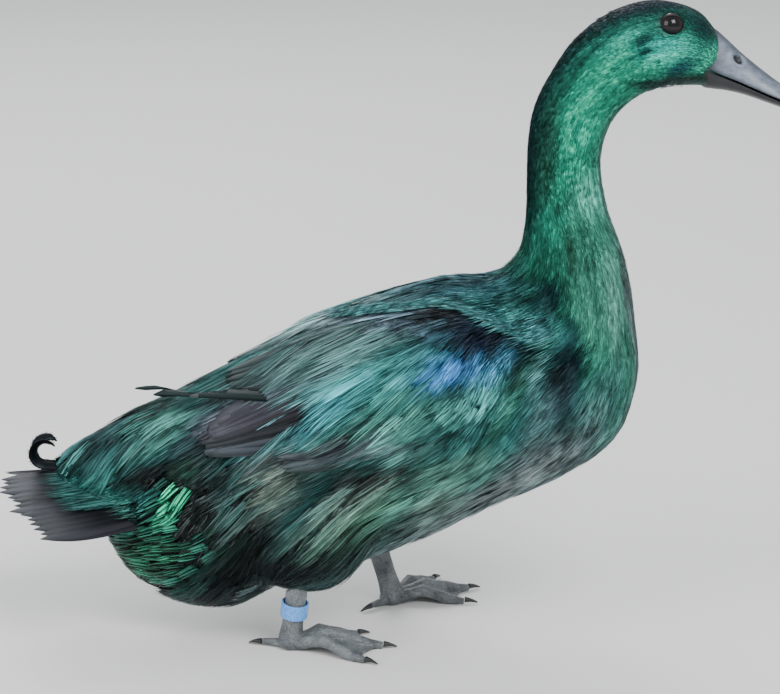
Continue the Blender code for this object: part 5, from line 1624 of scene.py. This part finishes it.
def curl_path(side):
    """The shaft: straight back from its root, then round the ring."""
    angles = np.radians(np.linspace(*CURL_ANGLES, CURL_STEPS - STEM_STEPS))
    ring = np.stack([np.cos(angles), np.zeros_like(angles), np.sin(angles)], -1)
    ring = ring * CURL_RADIUS + CURL_CENTRE
    ring[:, 1] += CURL_LEAN * np.linspace(0, 1, len(ring))
    stem = between(CURL_ROOT, ring[0], np.linspace(0, 1, STEM_STEPS, endpoint=False)[:, None])
    path = np.vstack([stem, ring])
    for _ in range(PATH_ROUNDS):
        path[1:-1] = (path[:-2] + path[1:-1] * 2 + path[2:]) / 4
    return path * (1, side, 1) + bird_place


def closed_piece(name, points, faces):
    """A closed piece, with its faces turned outward."""
    made = new_piece(name, points, faces)
    bm = bmesh.new()
    bm.from_mesh(made.data)
    bmesh.ops.recalc_face_normals(bm, faces=bm.faces)
    bm.to_mesh(made.data)
    bm.free()
    return made


def curled_feather(name, side, draw):
    path = curl_path(side)
    along = unit(np.gradient(path, axis=0))
    across = np.tile((0.0, 1.0, 0.0), (CURL_STEPS, 1))
    across = unit(across - along * (across * along).sum(-1, keepdims=True))
    across = unit(across + np.cross(along, across) * CURL_TILT * side)
    up = np.cross(along, across)
    half = CURL_HALF_WIDTH * np.interp(np.linspace(0, 1, CURL_STEPS), *CURL_WIDTHS)
    around = np.radians(np.arange(0, 360, 45))
    cosine, sine = np.cos(around)[None, :, None], np.sin(around)[None, :, None]
    flat = across[:, None] * (cosine * half[:, None, None])
    points = path[:, None] + flat + up[:, None] * (sine * CURL_THICKNESS * 0.5)
    faces = tube_faces(CURL_STEPS, len(around))
    points = list(points.reshape(-1, 3))
    for number in range(CURL_BARBS):
        at = int(np.interp(number, (0, CURL_BARBS), BARBED_STEPS))
        edge = across[at] * (half[at] * (1 if number % 2 else -1))
        base = path[at] + edge * 0.9
        tip = path[at] + edge * draw.uniform(1.15, 1.7) + along[at] * draw.uniform(0.0015, 0.0032)
        first, thin, wide = len(points), up[at] * 0.0002, along[at] * 0.0004
        points += [base - wide - thin, base + wide - thin, base + thin, tip]
        faces += [tuple(first + corner for corner in face) for face in SPIKE_FACES]
    curl = closed_piece(name, points, faces)
    set_fields(curl.data, tint=CURL_COLOUR, own=0.5, strand=VANE_SHADE, contrast=1.0)
    return curl


for side, sign in SIDES:
    curl = curled_feather(f"curled_feather_{side}", -sign, np.random.default_rng(52))
    curl.data.materials.append(wing_plumage)
    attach(curl, "root")


# The eyes. Each is a wet glass ball with a dark brown iris and a black pupil, set deep in its socket.
# A thin ring of bare, black skin with fine beads lies over its rim as the lid and holds it.
EYE_RADIUS = 0.0076
EYE_DEPTH = 0.0056
EYE_UP = math.radians(17)
EYE_FORWARD = math.radians(6)
LID_HALF_LONG = 0.0066
LID_HALF_HIGH = 0.0045
LID_PROFILE = (
    (0.96, 0.0),
    (0.99, 0.0004),
    (1.05, 0.0007),
    (1.14, 0.0005),
    (1.3, 0.0),
    (1.5, -0.001),
    (1.3, -0.003),
    (0.95, -0.0012),
)
LID_BEADS = 22
LID_BEAD_HEIGHT = 0.012
LEAST_HEIGHT = 0.0000045
FACE_WAY = np.array((1.0, 0.0, -0.12))
PUPIL_EDGE = 0.9
IRIS_EDGE = 0.6


def eye_ways(side):
    """Centre of the eyeball, and the ways out, forward and up of the eye."""
    sideways = side * math.cos(EYE_UP) * math.cos(EYE_FORWARD)
    out = unit(np.array((math.sin(EYE_FORWARD), sideways, math.sin(EYE_UP))))
    forward = unit(FACE_WAY - out * (FACE_WAY @ out))
    centre = EYE_ON_SKIN * (1, side, 1) - out * EYE_DEPTH + bird_place
    return centre, out, forward, np.cross(out, forward)


def eye_ball(name, side):
    centre, out, forward, up = eye_ways(side)
    spins = np.radians(np.arange(0, 360, 7.5))
    polar, spin = np.meshgrid(np.linspace(0.001, 2.4, 40), spins, indexing="ij")
    ways = (
        out * np.cos(polar)[..., None]
        + forward * (np.sin(polar) * np.cos(spin))[..., None]
        + up * (np.sin(polar) * np.sin(spin))[..., None]
    )
    ball = closed_piece(name, centre + ways * EYE_RADIUS, tube_faces(*polar.shape))
    set_fields(ball.data, gaze=np.cos(polar))
    return ball


def ramp(tree, factor, first, *stops):
    """Blends from colour to colour as a factor rises. Each stop is a place and a colour."""
    made = node(tree, "ShaderNodeValToRGB", {"Fac": factor})
    *middle, last = stops
    for element, (place, colour) in zip(made.color_ramp.elements, (first, last)):
        element.position, element.color = place, (*colour, 1.0)
    for place, colour in middle:
        made.color_ramp.elements.new(place).color = (*colour, 1.0)
    return made.outputs["Color"]


def eye_material():
    """A brown iris round a black pupil, finely flecked, under a wet surface."""
    made, tree, place = blank_material("wet_eye")
    flecks = noise(tree, place, 1500.0, 3.0)
    colour = ramp(
        tree,
        maths(tree, "MULTIPLY_ADD", flecks, 0.03, attribute(tree, "gaze")),
        (IRIS_EDGE, (0.004, 0.003, 0.003)),
        (IRIS_EDGE + 0.12, (0.009, 0.004, 0.0035)),
        (PUPIL_EDGE - 0.02, (0.006, 0.003, 0.003)),
        (PUPIL_EDGE + 0.02, (0.002, 0.002, 0.002)),
    )
    inputs = {"Base Color": colour, "Roughness": 0.05, "Specular IOR Level": 0.35}
    return finished_material(made, inputs)


def eye_lid(name, side):
    """A ring of skin over the ball, with small beads, that turns in under itself."""
    centre, out, forward, up = eye_ways(side)
    angles = np.radians(np.arange(0, 360, 5))
    reach = np.stack([np.cos(angles) * LID_HALF_LONG, np.sin(angles) * LID_HALF_HIGH], -1)
    beads = 1 + LID_BEAD_HEIGHT * np.sin(angles * LID_BEADS)
    rings = []
    for scale, rise in LID_PROFILE:
        flat = reach * (scale * beads)[:, None]
        height = np.sqrt(np.maximum(EYE_RADIUS**2 - (flat**2).sum(-1), LEAST_HEIGHT)) + rise
        rings.append(centre + forward * flat[:, :1] + up * flat[:, 1:] + out * height[:, None])
    index = np.arange(len(rings) * len(angles)).reshape(len(rings), -1)
    beside, above = np.roll(index, -1, 1), np.roll(index, -1, 0)
    faces = np.stack([index, beside, np.roll(beside, -1, 0), above], -1).reshape(-1, 4)
    return closed_piece(name, np.array(rings), faces.tolist())


def lid_material():
    """Bare black skin, finely grained."""
    made, tree, place = blank_material("bare_lid")
    grain = cells(tree, place, 1400.0)
    return finished_material(
        made,
        {
            "Base Color": ramp(tree, grain, (0.0, (0.002, 0.003, 0.004)), (1.0, (0.008, 0.009, 0.011))),
            "Normal": bumps(tree, grain, 0.4, 0.0003),
            "Roughness": 0.5,
            "Specular IOR Level": 0.25,
        },
    )


wet_eye, bare_lid = eye_material(), lid_material()
for side, sign in SIDES:
    ball = eye_ball(f"eyeball_{side}", -sign)
    ball.data.materials.append(wet_eye)
    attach(ball, "root")
    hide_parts(f"eye_{side}")
    lid = eye_lid(f"eyelid_{side}", -sign)
    lid.data.materials.append(bare_lid)
    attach(lid, "root")


# The bill. Two horn sheaths, the upper one broad and hollowed at its sides, with open nostrils and a
# hard nail at its tip. It closes over the lower one with a dark gap between them.
BillRing = namedtuple("BillRing", "x top edge half_width depth")
BILL_RINGS = (
    BillRing(0.184, 0.385, 0.3645, 0.011, 0.006),
    BillRing(0.19, 0.3845, 0.3612, 0.0114, 0.0118),
    BillRing(0.196, 0.3829, 0.3583, 0.0116, 0.0106),
    BillRing(0.203, 0.3773, 0.3553, 0.0112, 0.0084),
    BillRing(0.212, 0.3689, 0.3517, 0.0112, 0.0066),
    BillRing(0.221, 0.3614, 0.3478, 0.0117, 0.0054),
    BillRing(0.23, 0.3544, 0.344, 0.0127, 0.0048),
    BillRing(0.239, 0.3479, 0.3403, 0.0135, 0.0042),
    BillRing(0.247, 0.3422, 0.3368, 0.0129, 0.0036),
    BillRing(0.2535, 0.3374, 0.3336, 0.0105, 0.003),
    BillRing(0.2575, 0.334, 0.3316, 0.0068, 0.0022),
    BillRing(0.259, 0.3322, 0.3308, 0.003, 0.0014),
)
BILL_ROWS = 150
BILL_COLUMNS = 96
NOSTRIL = np.array((0.2105, 0.008, 0.365))
NOSTRIL_SLOPE = math.radians(40)
NOSTRIL_LONG = 0.0042
NOSTRIL_HIGH = 0.0024
NOSTRIL_REACH = 0.005
NOSTRIL_DEPTH = 0.0022
NOSTRIL_RIM = 0.0006
NAIL_HEIGHT = 0.0006
NAIL_START = (0.2475, 0.25)
NAIL_SIDE = (0.004, 0.0062)
ARCH = 1.25
PALATE_DEPTH = 0.0012
LIP_WIDTH = 0.16
LIP_FLARE = 0.015
LIP_RISE = 0.00035
LOWER_SHARE = 0.9
LOWER_BACK = 0.0008
LOWER_DROP = 0.00165
LOWER_TOP = 0.0006
HORN_BLACK = (0.006, 0.007, 0.01, 1.0)
BASE_SHADE = 0.75
RIDGE_SHADE = 0.7
GAPE_SHADE = 0.55


def bill_values():
    """Bill ring values in many even steps, rounded between the rings."""
    rings = np.array(BILL_RINGS)
    lengths = np.hypot(np.diff(rings[:, 0]), np.diff(rings[:, 3]))
    steps = np.concatenate([[0.0], np.cumsum(lengths)])
    fine = np.linspace(0, steps[-1], BILL_ROWS)
    i = np.clip(np.searchsorted(steps, fine, side="right") - 1, 0, len(rings) - 2)
    span = (steps[i + 1] - steps[i])[:, None]
    t = (fine - steps[i])[:, None] / span
    return rounded(rings, np.gradient(rings, steps, axis=0), i, t, span)


def bill_half(name, upper):
    x, top, edge, half_width, depth = (column[:, None] for column in bill_values().T)
    angle = np.radians(np.linspace(0, 360, BILL_COLUMNS, endpoint=False))[None, :]
    up, out = np.cos(angle), np.sin(angle)
    if upper:
        lip = np.exp(-(((np.abs(angle - np.pi) - np.pi / 2) / LIP_WIDTH) ** 2))
        height = np.where(up > 0, np.abs(up) ** ARCH * (top - edge), up * PALATE_DEPTH)
        height = edge + height + LIP_RISE * lip
        local = np.stack([x + 0 * up, half_width * out * (1 + LIP_FLARE * lip), height], -1)
        relief = bill_relief(local, up)
    else:
        height = edge - LOWER_DROP + np.where(up > 0, up * LOWER_TOP, up * depth)
        local = np.stack([x - LOWER_BACK + 0 * up, half_width * LOWER_SHARE * out, height], -1)
        relief = np.zeros(height.shape)
    points = local + grid_normals(local) * relief[..., None] + bird_place
    half = closed_piece(name, points, tube_faces(BILL_ROWS, BILL_COLUMNS))
    set_fields(half.data, shade=bill_shade(local, relief, up, edge))
    return half


def bill_shade(local, relief, up, edge):
    """How dark the horn is: darker at the base and along the ridge, with painted shade in the nostrils and
    just above the edge, where the halves meet.
    """
    height = local[..., 2] - edge
    base = 1 - smooth_step(0.189, 0.206, local[..., 0] + height * 0.25)
    ridge = smooth_step(0.8, 1.0, up) * RIDGE_SHADE
    # Painted shade in the gap where the halves meet, and in the hollow nostrils.
    gape = (1 - smooth_step(0.0006, 0.003, np.abs(height))) * GAPE_SHADE
    hole = smooth_step(0.0002, 0.0012, -relief)
    return np.maximum.reduce([base * BASE_SHADE, ridge + 0 * base, gape, hole])


def bill_relief(local, up):
    """Nostrils with a raised rim, and the nail."""
    mirrored = np.ones_like(local)
    mirrored[..., 1] = np.sign(local[..., 1])
    off = local - NOSTRIL * mirrored
    cosine, sine = math.cos(NOSTRIL_SLOPE), math.sin(NOSTRIL_SLOPE)
    lengthwise = (off[..., 0] * cosine - off[..., 2] * sine) / NOSTRIL_LONG
    crosswise = (off[..., 0] * sine + off[..., 2] * cosine) / NOSTRIL_HIGH
    ring = np.hypot(lengthwise, crosswise)
    hollow = -NOSTRIL_DEPTH * (1 - smooth_step(0.5, 0.95, ring))
    hollow = hollow + NOSTRIL_RIM * np.exp(-(((ring - 1.25) / 0.22) ** 2))
    near = (np.abs(off[..., 1]) < NOSTRIL_REACH) & (up > 0)
    nail = NAIL_HEIGHT * smooth_step(*NAIL_START, local[..., 0])
    nail = nail * (1 - smooth_step(*NAIL_SIDE, np.abs(local[..., 1])))
    return np.where(near, hollow, 0) + np.where(up > 0, nail, 0)


def horn_material(name, dark, light, roughness):
    """Slate horn: cloudy, paler where it is worn, with fine lengthwise growth lines."""
    made, tree, place = blank_material(name)
    clouds = noise(tree, place, 90.0, 6.0, 0.6)
    inputs = {"Vector": place, "Rotation": (0.0, 0.68, 0.0), "Scale": (60.0, 900.0, 900.0)}
    stretched = node(tree, "ShaderNodeMapping", inputs).outputs[0]
    lines = noise(tree, stretched, 1.0, 3.0)
    worn = maths(tree, "ADD", clouds, maths(tree, "MULTIPLY", lines, 0.35))
    colour = ramp(tree, maths(tree, "SUBTRACT", worn, 0.17), (0.3, dark), (0.72, light))
    return finished_material(
        made,
        {
            "Base Color": mixed(tree, attribute(tree, "shade"), colour, HORN_BLACK),
            "Normal": bumps(tree, lines, 0.25, 0.0003),
            "Roughness": maths(tree, "MULTIPLY_ADD", clouds, 0.25, roughness - 0.12),
        },
    )


for name, upper, slot, dark, light in (
    ("bill_upper_horn", True, "bill_slate", (0.062, 0.078, 0.108), (0.2, 0.235, 0.295)),
    ("bill_lower_horn", False, "bill_dark", (0.003, 0.0035, 0.005), (0.012, 0.013, 0.017)),
):
    horn = bill_half(name, upper)
    horn.data.materials.append(horn_material(name, dark, light, 0.36))
    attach(horn, "root")
    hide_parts("bill_upper" if upper else "bill_lower")


# The legs and feet. Dry slate skin over thin shanks, with small scales all over, and webs stretched
# between the three front toes, each of which ends in a black claw.
Stance = namedtuple("Stance", "name side ankle heel heading")
STANCES = (
    Stance("right", -1, (-0.0615, -0.0375, 0.0085), (-0.0555, -0.045, 0.056), -2.0),
    Stance("left", 1, (0.001, 0.05, 0.0085), (-0.013, 0.045, 0.056), 30.0),
)
LEG_VOXEL = 0.0006
LEG_ROUNDS = 4
CLAW_VOXEL = 0.00025
CLAW_ROUNDS = 6
MERGE_DISTANCE = 1e-6
SHIN_LEAN = (0.012, 0.0, 0.0)
SHIN_START = 0.62
SHIN_LENGTH = 0.04
SHIN_RADII = (0.0056, 0.0125)


def add_shin(bm, stance):
    """The upper end of the shank, which widens as it goes up into the feathers."""
    ankle, heel = Vector(stance.ankle), Vector(stance.heel)
    way = heel - ankle + Vector(SHIN_LEAN)
    middle = Vector(bird_place) + ankle.lerp(heel, SHIN_START) + way.normalized() * SHIN_LENGTH / 2
    turned = Matrix.Translation(middle) @ way.to_track_quat("Z", "Y").to_matrix().to_4x4()
    low, high = SHIN_RADII
    bmesh.ops.create_cone(
        bm, cap_ends=True, segments=32, radius1=low, radius2=high, depth=SHIN_LENGTH, matrix=turned
    )


def refined_copy(name, nodes, voxel, rounds, stance=None):
    """A finer, rounded skin over copies of the solids, as one closed mesh."""
    bm = bmesh.new()
    for solid in nodes:
        bm.from_mesh(bpy.data.objects[solid].data)
    if stance:
        add_shin(bm, stance)
    bmesh.ops.remove_doubles(bm, verts=bm.verts, dist=MERGE_DISTANCE)
    mesh = bpy.data.meshes.new(name)
    bm.to_mesh(mesh)
    bm.free()
    piece = placed(name, mesh)
    remesh = piece.modifiers.new("skin", "REMESH")
    remesh.mode, remesh.voxel_size = "VOXEL", voxel
    smooth = piece.modifiers.new("round", "SMOOTH")
    smooth.factor, smooth.iterations = 0.5, rounds
    graph = bpy.context.evaluated_depsgraph_get()
    fine = bpy.data.meshes.new_from_object(piece.evaluated_get(graph))
    piece.modifiers.clear()
    piece.data = fine
    fine.shade_smooth()
    return piece


def leg_material():
    """Scaled skin: small plates with dark creases between them, dusty and paler in patches."""
    made, tree, place = blank_material("scaled_skin")
    plates = cells(tree, place, 520.0, "DISTANCE_TO_EDGE")
    crease = node(tree, "ShaderNodeMapRange", {"Value": plates, "From Max": 0.1}).outputs[0]
    dust = noise(tree, place, 70.0, 5.0, 0.6)
    colour = ramp(tree, dust, (0.32, (0.05, 0.058, 0.066)), (0.7, (0.24, 0.265, 0.275)))
    height = maths(tree, "MULTIPLY_ADD", cells(tree, place, 1500.0), -0.3, crease)
    return finished_material(
        made,
        {
            "Base Color": scaled(tree, colour, maths(tree, "MULTIPLY_ADD", crease, 0.45, 0.55)),
            "Normal": bumps(tree, height, 0.7, 0.0004),
            "Roughness": 0.52,
        },
    )


scaled_skin = leg_material()
claw_horn = horn_material("claw_horn", (0.006, 0.006, 0.007), (0.035, 0.034, 0.036), 0.42)
for stance in STANCES:
    solids = (f"leg_{stance.name}", f"foot_{stance.name}")
    leg = refined_copy(f"scaled_leg_{stance.name}", solids, LEG_VOXEL, LEG_ROUNDS, stance)
    leg.data.materials.append(scaled_skin)
    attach(leg, "root")
    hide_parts(f"leg_{stance.name}", f"foot_{stance.name}")
    for number in range(1, 5):
        name = f"{stance.name}_{number}"
        claw = refined_copy(f"claw_horn_{name}", (f"claw_{name}",), CLAW_VOXEL, CLAW_ROUNDS)
        claw.data.materials.append(claw_horn)
        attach(claw, "root")
        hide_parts(f"claw_{stance.name}_{number}")


# The leg band. A split ring of light blue plastic, a little scuffed. It is sprung open over the
# right shank and hangs loose on it, above the foot.
BAND_VOXEL = 0.0003
BAND_ROUNDS = 5


def band_material():
    made, tree, place = blank_material("blue_plastic")
    scuffs = noise(tree, place, 600.0, 4.0)
    colour = ramp(tree, scuffs, (0.35, (0.085, 0.27, 0.68)), (0.65, (0.13, 0.37, 0.83)))
    normal = bumps(tree, scuffs, 0.15, 0.0002)
    return finished_material(made, {"Base Color": colour, "Normal": normal, "Roughness": 0.34})


band = refined_copy("plastic_band", ("leg_band",), BAND_VOXEL, BAND_ROUNDS)
band.data.materials.append(band_material())
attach(band, "root")
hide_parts("leg_band")


# The stand for the picture: a pale floor, soft light from large panels, and the camera, which looks
# down at the duck from its right side.
SENSOR = 36.0
PIXELS_ACROSS = 780
FLOOR_CORNERS = ((-6, -6, 0), (6, -6, 0), (6, 6, 0), (-6, 6, 0))
Panel = namedtuple("Panel", "name place size power")
PANELS = (
    Panel("key_panel", (0.9, -1.9, 2.0), 1.4, 70),
    Panel("fill_panel", (-1.8, -1.4, 1.2), 1.6, 34),
    Panel("rear_panel", (-0.6, 1.9, 2.0), 1.6, 35),
)
LIT_POINT = Vector((0, 0, 0.2))
SKY_COLOUR = (0.86, 0.9, 0.95, 1)
SKY_STRENGTH = 0.85


def add_camera():
    data = bpy.data.cameras.new("camera")
    data.sensor_width = SENSOR
    data.lens = SENSOR * SIDE_VIEW_DISTANCE / (PIXELS_ACROSS * SIDE_VIEW_SCALE)
    camera = placed("camera", data)
    backwards = Vector((0, -math.cos(SIDE_VIEW_PITCH), math.sin(SIDE_VIEW_PITCH)))
    looked_at = Vector(bird_place) + Vector((0, 0, SIDE_VIEW_HEIGHT))
    camera.location = looked_at + backwards * SIDE_VIEW_DISTANCE
    camera.rotation_euler = (math.pi / 2 - SIDE_VIEW_PITCH, 0, 0)
    bpy.context.scene.camera = camera


def add_floor():
    floor = new_piece("floor", FLOOR_CORNERS, [(0, 1, 2, 3)], smooth=False)
    made = blank_material("pale_floor")[0]
    finished_material(made, {"Base Color": (0.78, 0.77, 0.75, 1), "Roughness": 0.8})
    floor.data.materials.append(made)


def add_lights():
    for panel in PANELS:
        data = bpy.data.lights.new(panel.name, "AREA")
        data.size = panel.size
        data.energy = panel.power
        light = placed(panel.name, data)
        light.location = panel.place
        light.rotation_euler = (LIT_POINT - light.location).to_track_quat("-Z", "Y").to_euler()
    world = bpy.data.worlds.new("studio")
    world.use_nodes = True
    sky = {"Color": SKY_COLOUR, "Strength": SKY_STRENGTH}
    fill(world.node_tree.nodes["Background"], world.node_tree, sky)
    bpy.context.scene.world = world


add_camera()
add_floor()
add_lights()
